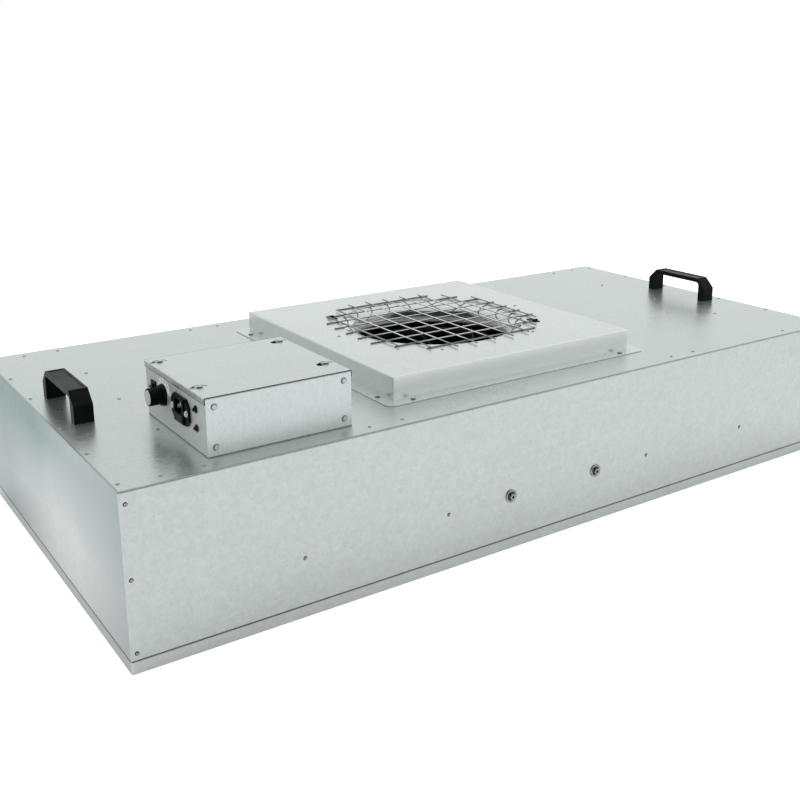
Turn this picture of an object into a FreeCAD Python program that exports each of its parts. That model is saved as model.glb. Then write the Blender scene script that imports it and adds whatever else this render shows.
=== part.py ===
import FreeCAD, Part
import math
import os

# Ceiling or bench-top laminar flow hood: a low galvanised fan filter module.
# Origin at the middle of the underside, X along the length, Y towards the back, Z up, millimetres.

# Body
length = 1175.0
depth = 575.0
body_height = 209.0
panel = 1.2                 # body sheet thickness
bend = 1.6                  # outside radius of the panel bends
top_flange = 30.0           # front and rear panel flange under the top
side_flange = 16.0          # side panel flange under the top and behind the front and rear
bottom_flange = 20.0
corner_gap = 1.0            # relief between flanges that meet at a corner

# Base frame round the filter opening
strip_height = 15.0
strip_sheet = 1.5
strip_web = 22.0
strip_ledge = 42.0
strip_corner = 3.0          # rounded upright corner of the frame

# Filter
filter_gap = 2.0            # filter frame to the base frame's web
filter_height = 50.0
filter_wall = 12.0
filter_lip = 6.0
filter_lip_sheet = 1.5
gasket = 5.0
gasket_width = 14.0
pleat_pitch = 22.0
media_sheet = 0.9
media_gap = 3.0             # media below the top of its frame
guard_sheet = 1.0
guard_bar = 14.0
guard_rows = 5
guard_columns = 11

# Inlet plenum on the top
plenum_length = 412.0
plenum_depth = 420.0
plenum_height = 32.0
plenum_sheet = 1.2
plenum_bend = 2.0
plenum_flange = 18.0
plenum_corner = 12.0
plenum_screw_ends = 42.0    # screw to the end of the flange
opening_margin = 12.0       # plenum wall to the opening in the top below it

# Inlet ring
throat_radius = 106.0
bell_radius = 32.0
bell_sheet = 1.2
bell_flange = 36.0
bell_neck = 4.0
ring_screw_circle = 163.0
ring_screws = 6

# Wire guard over the inlet: a welded mesh cut to a disc and trimmed on four sides
wire = 2.0
wire_pitch = 32.8
wire_bite = 0.4             # depth that crossing wires are welded into each other
guard_radius = 160.0
guard_side = 149.0
mesh_x = 5.9                # the mesh isn't centred on the disc
mesh_y = 3.9
clip_width = 9.0
clip_sheet = 1.0
clip_end_gap = 4.5          # middle of a clip to the end of its wire
clip_wire = 3               # the clips hold the third wires from the middle
clip_foot = 12.0
clip_heel = 5.0

# Fan
impeller_radius = 155.0
eye_gap = 3.0               # radial running gap round the throat
eye_overlap = 3.0           # depth that the eye stands round the throat
impeller_sheet = 1.5
impeller_outlet = 62.0
impeller_back = 112.0       # height of the back plate's underside
blade_count = 7
blade_sheet = 2.0
blade_inlet_radius = 84.0
blade_curve = 120.0
blade_sweep = 46.0
hub_radius = 50.0
hub_height = 46.0
rotor_radius = 62.0
rotor_wall = 4.0
rotor_gap = 2.0
stator_radius = 38.0
axle_radius = 8.0
bearing_radius = 16.0
bearing_width = 9.0
running_fit = 0.05
motor_foot = 8.0

# Motor beams and plate
beam_spacing = 150.0
beam_centre = 75.0
beam_height = 26.0
beam_width = 32.0
beam_sheet = 2.0
beam_tab = 24.0
motor_plate = 3.0
motor_plate_side = 190.0
motor_plate_screw = 10.0
beam_bolt = 4.0
beam_bolt_head = 6.5
beam_bolt_height = 3.2
beam_washer = 9.0
beam_washer_sheet = 1.2
hole_fit = 0.1

# Air baffles
baffle_sheet = 1.0
baffle_start = 130.0
baffle_end = 157.5          # end of the level baffles to the end of the body
baffle_flange = 12.0
end_baffle_place = 100.0    # upright baffles to the end of the body
end_baffle_drop = 84.0
end_baffle_flange = 22.0
lining = 12.0
lining_start = 215.0
lining_end = 112.5          # end of the lining to the end of the body
lining_margin = 34.0
lining_hole = 26.0

# Rivets
rivet_head = 2.6
rivet_rise = 0.9
rivet_eye = 0.9              # hollow left by the pulled pin
rivet_shank = 1.6
side_rivet_inset = 7.0
end_rivet_inset = 16.0
side_rivet_first = 20.0
side_rivet_pitch = 101.0
side_rivets = 3
middle_rivet_places = (233.5, 279.5)
outer_rivet_places = (100.0, 51.5)      # from the ends of the body
baffle_rivet_pitch = 135.5
baffle_rivets = 3
front_rivet_places = (175.0, 378.5)
corner_rivet_drop = 15.0
corner_rivet_pitch = 85.0
corner_rivets = 3

# Handles
handle_span = 130.0
handle_screw_span = 117.0
handle_width = 24.0
handle_height = 38.5
handle_leg = 13.0
handle_bar = 7.0
handle_chamfer = 16.5
handle_inner_round = 6.0
handle_edge = 1.0
handle_groove = 0.7
handle_rim = 3.0
handle_inset = 36.0
handle_screw = 3.0
handle_screw_depth = 12.0
handle_screw_head = 5.5
handle_screw_rise = 3.0

# Control box
box_length = 184.0
box_depth = 180.0
box_height = 69.0
box_end = 202.5              # middle of the box to the left end of the body
box_y = -165.5
box_sheet = 1.2
box_flange = 15.0
lid_lip = 8.0
lid_bend = 1.6
lid_ease = 0.2              # the sheets under the lid's bends are rounder than the bends
lid_screw_x = 80.0
lid_screw_y = 60.0
lid_screw_shift = 9.0
keyhole_radius = 5.5
keyhole_shift = 7.5
keyhole_slot = 2.3
box_screw = 2.0
box_screw_head = 4.0
box_screw_rise = 1.8
plate_screw_inset = 11.0
plate_screw_low = 11.0
plate_screw_high = 57.5
cable_hole = 12.0
grommet_lip = 3.0
grommet_wall = 2.0
grommet_bulge = 2.0

# Things on the control box's left wall: place along Y from the box's front, height above the top panel
knob_place = 122.5
knob_level = 40.0
knob_skirt = 13.4
knob_skirt_thickness = 4.0
knob_body = 10.6
knob_length = 18.5
knob_gap = 0.6
knob_flutes = 18
knob_flute = 1.0
cap_radius = 8.8
cap_thickness = 0.8
cap_recess = 0.5
dial_radius = 20.5
dial_hub = 12.0
dial_sheet = 0.8
dial_drop = 3.0
regulator_shaft = 3.0
regulator_bush = 4.5
regulator_body = 14.0
regulator_depth = 18.0
regulator_nut = 7.0
regulator_nut_thickness = 2.4
shaft_reach = 13.0
rocker_place = 154.5
rocker_level = 38.5
rocker_width = 15.0
rocker_tall = 21.0
rocker_bezel = 2.0
rocker_rim = 1.6
rocker_body_depth = 16.0
rocker_throw = 14.0
rocker_rise = 3.4
rocker_fit = 0.35
rocker_pin = 1.2
rocker_pin_reach = 1.0
rocker_pivot = 3.0            # pivot behind the wall's face
inlet_place = 68.7
inlet_level = 37.5
inlet_width = 50.0
inlet_tall = 32.0
inlet_flange = 3.0
inlet_collar = 1.8
inlet_body_width = 28.0
inlet_body_tall = 30.0
inlet_body_depth = 24.0
inlet_corner = 8.0
inlet_screw_span = 40.0
socket_width = 22.0
socket_tall = 16.0
socket_depth = 17.0
socket_rise = 4.5
socket_corner = 4.0
pin_width = 4.0
pin_sheet = 2.0
pin_reach = 14.0
pin_span = 14.0
pin_step = 4.0
drawer_width = 21.0
drawer_tall = 7.0
drawer_depth = 18.0
drawer_drop = 8.8
drawer_fit = 0.3
drawer_face = 1.0
fuse_radius = 2.5
fuse_length = 15.0
lamp_place = 27.5
lamp_level = 38.0
lamp_span = 22.0
lamp_radius = 4.0
lamp_flange = 4.6
lamp_flange_thickness = 0.8
lamp_rise = 4.0
lamp_body = 12.0

# Things inside the control box
capacitor_radius = 18.0
capacitor_length = 62.0
capacitor_x = 45.0
capacitor_y = 48.0
clamp_width = 14.0
clamp_sheet = 1.2
clamp_foot = 14.0
terminal_length = 78.0
terminal_depth = 20.0
terminal_height = 17.0
terminal_ways = 8
terminal_x = 30.0
terminal_y = -45.0

half_l = length / 2
half_d = depth / 2
box_x = box_end - half_l
box_round = lid_bend - box_sheet + lid_ease
top_under = body_height - panel
plenum_top = body_height + plenum_height
ring_top = plenum_top - plenum_sheet
wall_face = box_x - box_length / 2 + box_sheet
box_front = box_y - box_depth / 2
box_top = body_height + box_height

X = FreeCAD.Vector(1, 0, 0)
Y = FreeCAD.Vector(0, 1, 0)
Z = FreeCAD.Vector(0, 0, 1)


def at(x, y, z):
    return FreeCAD.Vector(x, y, z)


def block(x0, x1, y0, y1, z0, z1):
    """Box between two corners, in any order."""
    low = at(min(x0, x1), min(y0, y1), min(z0, z1))
    return Part.makeBox(abs(x1 - x0), abs(y1 - y0), abs(z1 - z0), low)


def rod(radius, reach, start, axis=Z):
    return Part.makeCylinder(radius, reach, start, axis)


def join(shapes):
    """One solid from shapes that touch or overlap."""
    shapes = list(shapes)
    if len(shapes) == 1:
        return shapes[0]
    return shapes[0].multiFuse(shapes[1:]).removeSplitter()


def group(shapes):
    return Part.makeCompound(list(shapes))


def less(shape, tools):
    tools = list(tools)
    if not tools:
        return shape
    return shape.cut(group(tools))


def outline(corners, place):
    """Closed wire through (a, b, radius) corners; place turns (a, b) into a point in space."""
    count = len(corners)
    stops = []
    for index in range(count):
        a, b, radius = corners[index]
        before = corners[index - 1]
        after = corners[(index + 1) % count]
        here = FreeCAD.Vector(a, b, 0)
        back = (FreeCAD.Vector(before[0], before[1], 0) - here).normalize()
        ahead = (FreeCAD.Vector(after[0], after[1], 0) - here).normalize()
        if radius == 0:
            stops.append((here, here, None))
            continue
        half = math.acos(max(-1.0, min(1.0, back.dot(ahead)))) / 2
        reach = radius / math.tan(half)
        middle = (back + ahead).normalize() * (radius / math.sin(half) - radius)
        stops.append((here + back * reach, here + ahead * reach, here + middle))
    edges = []
    for index in range(count):
        first, last, middle = stops[index]
        if middle is not None:
            arc = Part.Arc(place(first.x, first.y), place(middle.x, middle.y), place(last.x, last.y))
            edges.append(arc.toShape())
        following = stops[(index + 1) % count][0]
        if last.distanceToPoint(following) > 1e-6:
            edges.append(Part.makeLine(place(last.x, last.y), place(following.x, following.y)))
    return Part.Wire(edges)


def prism(corners, place, sweep):
    return Part.Face(outline(corners, place)).extrude(sweep)


def plate(x_size, y_size, corner, z0, z1):
    """Upright prism of a rounded rectangle about the Z axis."""
    a = x_size / 2
    b = y_size / 2
    corners = [(-a, -b, corner), (a, -b, corner), (a, b, corner), (-a, b, corner)]
    return prism(corners, lambda p, q: at(p, q, z0), at(0, 0, z1 - z0))


def revolve(profile):
    """Solid of revolution about Z from edges in the XZ plane."""
    return Part.Face(Part.Wire(profile)).revolve(at(0, 0, 0), Z, 360)


def four_ways(x, y):
    return [(sx * x, sy * y) for sx in (-1, 1) for sy in (-1, 1)]


def turned(shape, angle):
    """Copy turned about Z."""
    copy = shape.copy()
    copy.rotate(at(0, 0, 0), Z, angle)
    return copy


def moved(shape, x=0.0, y=0.0, z=0.0):
    copy = shape.copy()
    copy.translate(at(x, y, z))
    return copy


# Body sheets

def top_panel():
    sheet = block(-half_l, half_l, -half_d, half_d, top_under, body_height)
    opening_x = plenum_length - 2 * opening_margin
    opening_y = plenum_depth - 2 * opening_margin
    cuts = [plate(opening_x, opening_y, plenum_corner, top_under, body_height)]
    for x, y in handle_screw_places():
        cuts.append(rod(handle_screw + hole_fit, panel, at(x, y, top_under)))
    for x, y in plenum_screw_places():
        cuts.append(rod(box_screw + hole_fit, panel, at(x, y, top_under)))
    for x, y in floor_screw_places():
        cuts.append(rod(box_screw + hole_fit, panel, at(x, y, top_under)))
    cuts.append(rod(cable_hole, panel, at(box_x, box_y, top_under)))
    return less(sheet, cuts)


def long_panel(side):
    """Front (side -1) or rear (side 1) sheet with its top and bottom flanges."""
    face = side * half_d
    z0 = strip_height
    z1 = top_under
    inner = bend - panel
    section = [
        (face, z0, bend), (face, z1, bend), (face - side * top_flange, z1, 0),
        (face - side * top_flange, z1 - panel, 0), (face - side * panel, z1 - panel, inner),
        (face - side * panel, z0 + panel, inner), (face - side * bottom_flange, z0 + panel, 0),
        (face - side * bottom_flange, z0, 0),
    ]
    sheet = prism(section, lambda y, z: at(-half_l, y, z), at(length, 0, 0))
    notch = panel + side_flange + corner_gap
    cuts = []
    for end in (-1, 1):
        inside = face - side * panel
        cuts.append(block(end * half_l, end * (half_l - notch), inside, face - side * top_flange, z0, z1))
    for x in (-beam_spacing / 2, beam_spacing / 2):
        cuts.append(rod(beam_bolt + hole_fit, panel, at(x, face - side * panel, beam_centre), Y * side))
    return less(sheet, cuts)


def side_panel(side):
    """Left (side -1) or right (side 1) tray with flanges on all four edges."""
    z0 = strip_height
    z1 = top_under
    y1 = half_d - panel
    outer = block(side * half_l, side * (half_l - side_flange), -y1, y1, z0, z1)
    wall_edges = [e for e in outer.Edges if abs(e.CenterOfMass.x - side * half_l) < 1e-6]
    outer = outer.makeFillet(bend, wall_edges)
    inner = block(side * (half_l - panel), side * (half_l - side_flange - 1), -y1 + panel, y1 - panel,
                  z0 + panel, z1 - panel)
    relief = []
    for y in (-y1, y1):
        for z in (z0, z1):
            reach = side_flange
            relief.append(block(side * (half_l - bend), side * (half_l - reach), y, y - math.copysign(bend, y),
                                z, z - math.copysign(bend, z - (z0 + z1) / 2)))
    return less(outer, [inner] + relief)


def base_frame():
    """Welded frame of a folded section, open inwards, whose ledge carries the filter."""
    outer = plate(length, depth, strip_corner, 0, strip_height)
    hollow = plate(length - 2 * strip_sheet, depth - 2 * strip_sheet, strip_corner - strip_sheet,
                   strip_sheet, strip_height - strip_sheet)
    above = plate(length - 2 * strip_web, depth - 2 * strip_web, 0, strip_sheet, strip_height)
    below = plate(length - 2 * strip_ledge, depth - 2 * strip_ledge, 0, 0, strip_sheet)
    cuts = [hollow, above, below]
    for x, y in base_screw_places():
        cuts.append(rod(box_screw + hole_fit, strip_sheet, at(x, y, strip_height - strip_sheet)))
    return less(outer, cuts)


def base_screw_places():
    y = half_d - bottom_flange / 2
    return four_ways(middle_rivet_places[1], y) + four_ways(half_l - outer_rivet_places[0], y)


def base_screws():
    """Pan screws from inside the frame up into the body's bottom flanges."""
    level = strip_height - strip_sheet
    return group(join([rod(box_screw_head, box_screw_rise, at(x, y, level - box_screw_rise)),
                       rod(box_screw, strip_sheet, at(x, y, level))])
                 for x, y in base_screw_places())


# Filter

filter_length = length - 2 * (strip_web + filter_gap)
filter_depth = depth - 2 * (strip_web + filter_gap)
filter_base = strip_sheet + gasket
filter_top = filter_base + filter_height


def filter_gasket():
    outer = plate(filter_length, filter_depth, 0, strip_sheet, filter_base)
    hole = plate(filter_length - 2 * gasket_width, filter_depth - 2 * gasket_width, 0, strip_sheet, filter_base)
    return less(outer, [hole])


def filter_frame():
    outer = plate(filter_length, filter_depth, 0, filter_base, filter_top)
    bore = plate(filter_length - 2 * filter_wall, filter_depth - 2 * filter_wall, 0,
                 filter_base + filter_lip_sheet, filter_top)
    rim = filter_wall + filter_lip
    mouth = plate(filter_length - 2 * rim, filter_depth - 2 * rim, 0, filter_base,
                  filter_base + filter_lip_sheet)
    return less(outer, [bore, mouth])


def face_guard():
    """Perforated sheet that keeps hands off the media, on the frame's lip."""
    z0 = filter_base + filter_lip_sheet
    x_size = filter_length - 2 * filter_wall
    y_size = filter_depth - 2 * filter_wall
    sheet = plate(x_size, y_size, 0, z0, z0 + guard_sheet)
    pitch_x = (x_size - 2 * filter_lip) / guard_columns
    pitch_y = (y_size - 2 * filter_lip) / guard_rows
    windows = []
    for i in range(guard_columns):
        for j in range(guard_rows):
            x = (i - (guard_columns - 1) / 2) * pitch_x
            y = (j - (guard_rows - 1) / 2) * pitch_y
            windows.append(block(x - (pitch_x - guard_bar) / 2, x + (pitch_x - guard_bar) / 2,
                                 y - (pitch_y - guard_bar) / 2, y + (pitch_y - guard_bar) / 2,
                                 z0, z0 + guard_sheet))
    return less(sheet, windows)


def filter_media():
    """Pleated paper, one zigzag sheet between the guard and the top of the frame."""
    z0 = filter_base + filter_lip_sheet + guard_sheet
    z1 = filter_top - media_gap
    room = filter_length - 2 * filter_wall
    folds = int(room // pleat_pitch)
    pitch = room / folds
    rise = media_sheet * math.hypot(1, (z1 - z0) / (pitch / 2))
    upper = []
    lower = []
    for i in range(folds + 1):
        x = -room / 2 + i * pitch
        upper.append(at(x, 0, z0 + rise))
        lower.append(at(x, 0, z0))
        if i < folds:
            upper.append(at(x + pitch / 2, 0, z1))
            lower.append(at(x + pitch / 2, 0, z1 - rise))
    points = upper + lower[::-1]
    y0 = -filter_depth / 2 + filter_wall
    face = Part.Face(Part.makePolygon(points + [points[0]]))
    face.translate(at(0, y0, 0))
    return face.extrude(at(0, -2 * y0, 0))


# Inlet plenum, ring and guard

def plenum_screw_places():
    x_out = plenum_length / 2 + plenum_flange / 2
    y_out = plenum_depth / 2 + plenum_flange / 2
    x_in = plenum_length / 2 + plenum_flange - plenum_screw_ends
    y_in = plenum_depth / 2 + plenum_flange - plenum_screw_ends
    return four_ways(x_out, y_in) + four_ways(x_in, y_out)


def ring_screw_places():
    step = 360.0 / ring_screws
    return [(ring_screw_circle * math.cos(math.radians(i * step)),
             ring_screw_circle * math.sin(math.radians(i * step))) for i in range(ring_screws)]


def inlet_plenum():
    """Shallow box with an out-turned foot, open below, and the round inlet in its top."""
    z0 = body_height
    outer = block(-plenum_length / 2, plenum_length / 2, -plenum_depth / 2, plenum_depth / 2, z0, plenum_top)
    bent = [e for e in outer.Edges if e.CenterOfMass.z > z0 + 1]
    outer = outer.makeFillet(plenum_bend, bent)
    foot = plate(plenum_length + 2 * plenum_flange, plenum_depth + 2 * plenum_flange, plenum_corner,
                 z0, z0 + plenum_sheet)
    inner = block(-plenum_length / 2 + plenum_sheet, plenum_length / 2 - plenum_sheet,
                  -plenum_depth / 2 + plenum_sheet, plenum_depth / 2 - plenum_sheet,
                  z0, ring_top)
    cuts = [inner, rod(throat_radius + bell_radius, plenum_sheet, at(0, 0, ring_top))]
    for x, y in plenum_screw_places():
        cuts.append(rod(box_screw + hole_fit, plenum_sheet, at(x, y, z0)))
    for x, y in ring_screw_places():
        cuts.append(rod(rivet_shank + running_fit, plenum_sheet, at(x, y, ring_top)))
    return less(join([outer, foot]), cuts)


def plenum_screws():
    """Pan screws that hold the plenum's foot to the top panel."""
    level = body_height + plenum_sheet
    return group(pan_screw(at(x, y, level), Z, plenum_sheet + panel) for x, y in plenum_screw_places())


def pan_screw(seat, outward, grip):
    """Low pan head standing on a surface, with its shank through what it holds."""
    head = Part.makeCone(box_screw_head, box_screw_head * 0.7, box_screw_rise, seat, outward)
    shank = rod(box_screw, grip, seat - outward * grip, outward)
    return join([head, shank])


def inlet_ring():
    """Spun ring: a flat flange under the plenum's top that curves down into the throat."""
    flange_radius = throat_radius + bell_radius + bell_flange
    centre_r = throat_radius + bell_radius
    centre_z = ring_top - bell_radius
    inner = bell_radius - bell_sheet
    neck_end = centre_z - bell_neck
    diagonal = math.sqrt(0.5)
    profile = [
        Part.makeLine(at(flange_radius, 0, ring_top), at(centre_r, 0, ring_top)),
        Part.Arc(at(centre_r, 0, ring_top),
                 at(centre_r - bell_radius * diagonal, 0, centre_z + bell_radius * diagonal),
                 at(throat_radius, 0, centre_z)).toShape(),
        Part.makeLine(at(throat_radius, 0, centre_z), at(throat_radius, 0, neck_end)),
        Part.makeLine(at(throat_radius, 0, neck_end), at(throat_radius + bell_sheet, 0, neck_end)),
        Part.makeLine(at(throat_radius + bell_sheet, 0, neck_end), at(throat_radius + bell_sheet, 0, centre_z)),
        Part.Arc(at(throat_radius + bell_sheet, 0, centre_z),
                 at(centre_r - inner * diagonal, 0, centre_z + inner * diagonal),
                 at(centre_r, 0, ring_top - bell_sheet)).toShape(),
        Part.makeLine(at(centre_r, 0, ring_top - bell_sheet), at(flange_radius, 0, ring_top - bell_sheet)),
        Part.makeLine(at(flange_radius, 0, ring_top - bell_sheet), at(flange_radius, 0, ring_top)),
    ]
    holes = [rod(rivet_shank + running_fit, bell_sheet, at(x, y, ring_top - bell_sheet))
             for x, y in ring_screw_places()]
    return less(revolve(profile), holes)


def rivet(seat, outward, grip=0.0):
    """Low domed head, with a shank where the rivet's holes are modelled."""
    head = Part.makeCone(rivet_head, rivet_head * 0.6, rivet_rise, seat, outward)
    head = head.cut(rod(rivet_eye, rivet_rise / 2, seat + outward * (rivet_rise / 2), outward))
    if grip == 0:
        return head
    return join([head, rod(rivet_shank, grip, seat - outward * grip, outward)])


def ring_rivets():
    grip = plenum_sheet + bell_sheet
    return group(rivet(at(x, y, plenum_top), Z, grip) for x, y in ring_screw_places())


def wire_lines(shift):
    """Places of the parallel wires that fit on the guard."""
    count = int(guard_side // wire_pitch) + 1
    lines = [shift + i * wire_pitch for i in range(-count, count + 1)]
    return [line for line in lines if abs(line) < guard_side - wire]


def wire_reach(line):
    """Half the length of the wire at a place across the guard."""
    return min(math.sqrt(guard_radius ** 2 - line ** 2), guard_side)


wire_low = plenum_top + wire / 2


def wire_guard():
    """Square welded mesh that lies on the plenum's top."""
    high = wire_low + wire - wire_bite
    wires = []
    for y in wire_lines(mesh_y):
        reach = wire_reach(y)
        wires.append(rod(wire / 2, 2 * reach, at(-reach, y, wire_low), X))
    for x in wire_lines(mesh_x):
        reach = wire_reach(x)
        wires.append(rod(wire / 2, 2 * reach, at(x, -reach, high), Y))
    return join(wires)


def clip():
    """Strip hooked over a wire along X at the origin, with a long foot towards +Y."""
    span = wire / 2 + running_fit
    z0 = plenum_top
    z1 = z0 + wire + running_fit
    corners = [
        (-span - clip_sheet - clip_heel, z0, 0), (-span, z0, 0), (-span, z1, 0), (span, z1, 0), (span, z0, 0),
        (span + clip_sheet + clip_foot, z0, 0), (span + clip_sheet + clip_foot, z0 + clip_sheet, 0),
        (span + clip_sheet, z0 + clip_sheet, 0), (span + clip_sheet, z1 + clip_sheet, clip_sheet),
        (-span - clip_sheet, z1 + clip_sheet, clip_sheet), (-span - clip_sheet, z0 + clip_sheet, 0),
        (-span - clip_sheet - clip_heel, z0 + clip_sheet, 0),
    ]
    return prism(corners, lambda y, z: at(-clip_width / 2, y, z), at(clip_width, 0, 0))


def guard_clips():
    """A clip at the right near the front and one at the left near the back."""
    clips = []
    for side in (-1, 1):
        line = mesh_y - side * clip_wire * wire_pitch
        x = side * (wire_reach(line) - clip_end_gap)
        hook = clip() if side == 1 else turned(clip(), 180)
        clips.append(moved(hook, x, line))
    return group(clips)


# Handles

def handle_screw_places():
    return four_ways(half_l - handle_inset, handle_screw_span / 2)


def handle(side):
    """Moulded bridge handle: two legs, chamfered shoulders and a flat bar."""
    x0 = side * (half_l - handle_inset) - handle_width / 2
    z0 = body_height
    z1 = z0 + handle_height
    half = handle_span / 2
    inner = half - handle_leg
    shoulder = half - handle_chamfer
    corners = [
        (-half, z0, 0), (-half, z1 - handle_chamfer, handle_edge * 2), (-shoulder, z1, handle_edge * 2),
        (shoulder, z1, handle_edge * 2), (half, z1 - handle_chamfer, handle_edge * 2), (half, z0, 0),
        (inner, z0, 0), (inner, z1 - handle_bar, handle_inner_round),
        (-inner, z1 - handle_bar, handle_inner_round), (-inner, z0, 0),
    ]
    body = prism(corners, lambda y, z: at(x0, y, z), at(handle_width, 0, 0))
    groove = block(x0 + handle_rim, x0 + handle_width - handle_rim, -shoulder + handle_rim,
                   shoulder - handle_rim, z1 - handle_groove, z1)
    cuts = [groove]
    for y in (-handle_screw_span / 2, handle_screw_span / 2):
        cuts.append(rod(handle_screw + hole_fit, handle_screw_depth, at(x0 + handle_width / 2, y, z0)))
    return less(body, cuts)


def handle_screws():
    """Pan screws from inside the body, up through the top panel into the handles' legs."""
    screws = []
    for x, y in handle_screw_places():
        head = rod(handle_screw_head, handle_screw_rise, at(x, y, top_under - handle_screw_rise))
        shank = rod(handle_screw, panel + handle_screw_depth - 1, at(x, y, top_under))
        screws.append(join([head, shank]))
    return group(screws)


# Rivets

end_rivet_places = middle_rivet_places + tuple(half_l - place for place in outer_rivet_places)


def top_rivets():
    """Domed rivets along the top panel's edges and over the end baffles."""
    places = []
    for i in range(side_rivets):
        y = half_d - side_rivet_first - i * side_rivet_pitch
        places += four_ways(half_l - side_rivet_inset, y)
    for x in end_rivet_places:
        places += four_ways(x, half_d - end_rivet_inset)
    for i in range(baffle_rivets):
        y = (i - (baffle_rivets - 1) / 2) * baffle_rivet_pitch
        places += [(-half_l + end_baffle_place, y), (half_l - end_baffle_place, y)]
    return group(rivet(at(x, y, body_height), Z) for x, y in places)


def wall_rivets():
    """Rivets on the front and rear sheets: at their ends and along the air baffles."""
    places = []
    for i in range(corner_rivets):
        z = body_height - corner_rivet_drop - i * corner_rivet_pitch
        places += [(-half_l + side_rivet_inset, z), (half_l - side_rivet_inset, z)]
    for x in front_rivet_places:
        places += [(-x, beam_centre), (x, beam_centre)]
    return group(rivet(at(x, side * half_d, z), Y * side) for side in (-1, 1) for x, z in places)


# Motor beams

def beam(x):
    """Channel across the body with a bolted tab at each end."""
    z0 = beam_centre - beam_height / 2
    z1 = z0 + beam_height
    reach = half_d - panel
    inner = bend - panel
    section = [
        (x - beam_width / 2, z0, 0), (x - beam_width / 2, z1, bend), (x + beam_width / 2, z1, bend),
        (x + beam_width / 2, z0, 0), (x + beam_width / 2 - beam_sheet, z0, 0),
        (x + beam_width / 2 - beam_sheet, z1 - beam_sheet, inner),
        (x - beam_width / 2 + beam_sheet, z1 - beam_sheet, inner), (x - beam_width / 2 + beam_sheet, z0, 0),
    ]
    channel = prism(section, lambda p, q: at(p, -reach, q), at(0, 2 * reach, 0))
    pieces = [channel]
    for end in (-1, 1):
        pieces.append(block(x - beam_width / 2 + beam_sheet, x + beam_width / 2 - beam_sheet,
                            end * reach, end * (reach - beam_sheet), beam_centre - beam_tab / 2, z1 - beam_sheet))
    cuts = [rod(beam_bolt + hole_fit, beam_sheet, at(x, end * (reach - beam_sheet), beam_centre), Y * end)
            for end in (-1, 1)]
    for y in (-motor_plate_side / 2 + motor_plate_screw, motor_plate_side / 2 - motor_plate_screw):
        cuts.append(rod(box_screw + hole_fit, beam_sheet, at(x, y, z1 - beam_sheet)))
    return less(join(pieces), cuts)


def motor_beams():
    return group([beam(-beam_spacing / 2), beam(beam_spacing / 2)])


def beam_bolts():
    """Button-head bolts with washers, from outside the front and rear sheets into the beams."""
    bolts = []
    for x in (-beam_spacing / 2, beam_spacing / 2):
        for side in (-1, 1):
            seat = at(x, side * half_d, beam_centre)
            out = Y * side
            washer = rod(beam_washer, beam_washer_sheet, seat, out)
            head = Part.makeCone(beam_bolt_head, beam_bolt_head * 0.62, beam_bolt_height,
                                 seat + out * beam_washer_sheet, out)
            socket = Part.makeCylinder(beam_bolt * 0.55, beam_bolt_height / 2,
                                       seat + out * (beam_washer_sheet + beam_bolt_height / 2), out)
            shank_reach = panel + beam_sheet + beam_bolt * 2
            shank = rod(beam_bolt, shank_reach, seat - out * shank_reach, out)
            bolts.append(join([washer, head, shank]).cut(socket))
    return group(bolts)


def hexagon(radius, centre, axis, reach):
    """Six-sided prism, radius to its corners, along Y or Z."""
    if abs(axis.z) > 0.5:
        points = [centre + at(radius * math.cos(math.radians(60 * i)), radius * math.sin(math.radians(60 * i)), 0)
                  for i in range(6)]
    else:
        points = [centre + at(radius * math.cos(math.radians(60 * i)), 0, radius * math.sin(math.radians(60 * i)))
                  for i in range(6)]
    return Part.Face(Part.makePolygon(points + [points[0]])).extrude(axis * reach)


def beam_nuts():
    nuts = []
    for x in (-beam_spacing / 2, beam_spacing / 2):
        for side in (-1, 1):
            seat = at(x, side * (half_d - panel - beam_sheet), beam_centre)
            nut = hexagon(beam_bolt * 1.75, seat, Y * -side, beam_bolt * 1.6)
            bore = rod(beam_bolt + running_fit, beam_bolt * 1.6, seat, Y * -side)
            nuts.append(nut.cut(bore))
    return group(nuts)


plate_level = beam_centre + beam_height / 2


def motor_mount_plate():
    sheet = plate(motor_plate_side, motor_plate_side, bend * 3, plate_level, plate_level + motor_plate)
    inset = motor_plate_side / 2 - motor_plate_screw
    cuts = [rod(box_screw + hole_fit, motor_plate, at(x, y, plate_level))
            for x, y in four_ways(beam_spacing / 2, inset)]
    cuts += [rod(box_screw + hole_fit, motor_plate, at(x, y, plate_level)) for x, y in motor_screw_places()]
    return less(sheet, cuts)


# Fan

motor_base = plate_level + motor_plate
rotor_base = motor_base + motor_foot + rotor_gap
hub_top = impeller_back + impeller_sheet + hub_height


def motor_screw_places():
    place = rotor_radius * 0.62
    return four_ways(place, place)


def motor_screws():
    """Screws through the plate: down into the beams and up into the motor's foot."""
    inset = motor_plate_side / 2 - motor_plate_screw
    down = at(0, 0, plate_level + motor_plate)
    up = at(0, 0, plate_level)
    screws = [pan_screw(down + at(x, y, 0), Z, motor_plate + beam_sheet)
              for x, y in four_ways(beam_spacing / 2, inset)]
    screws += [pan_screw(up + at(x, y, 0), Z * -1, motor_plate + motor_foot * 0.6)
               for x, y in motor_screw_places()]
    return group(screws)


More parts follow.
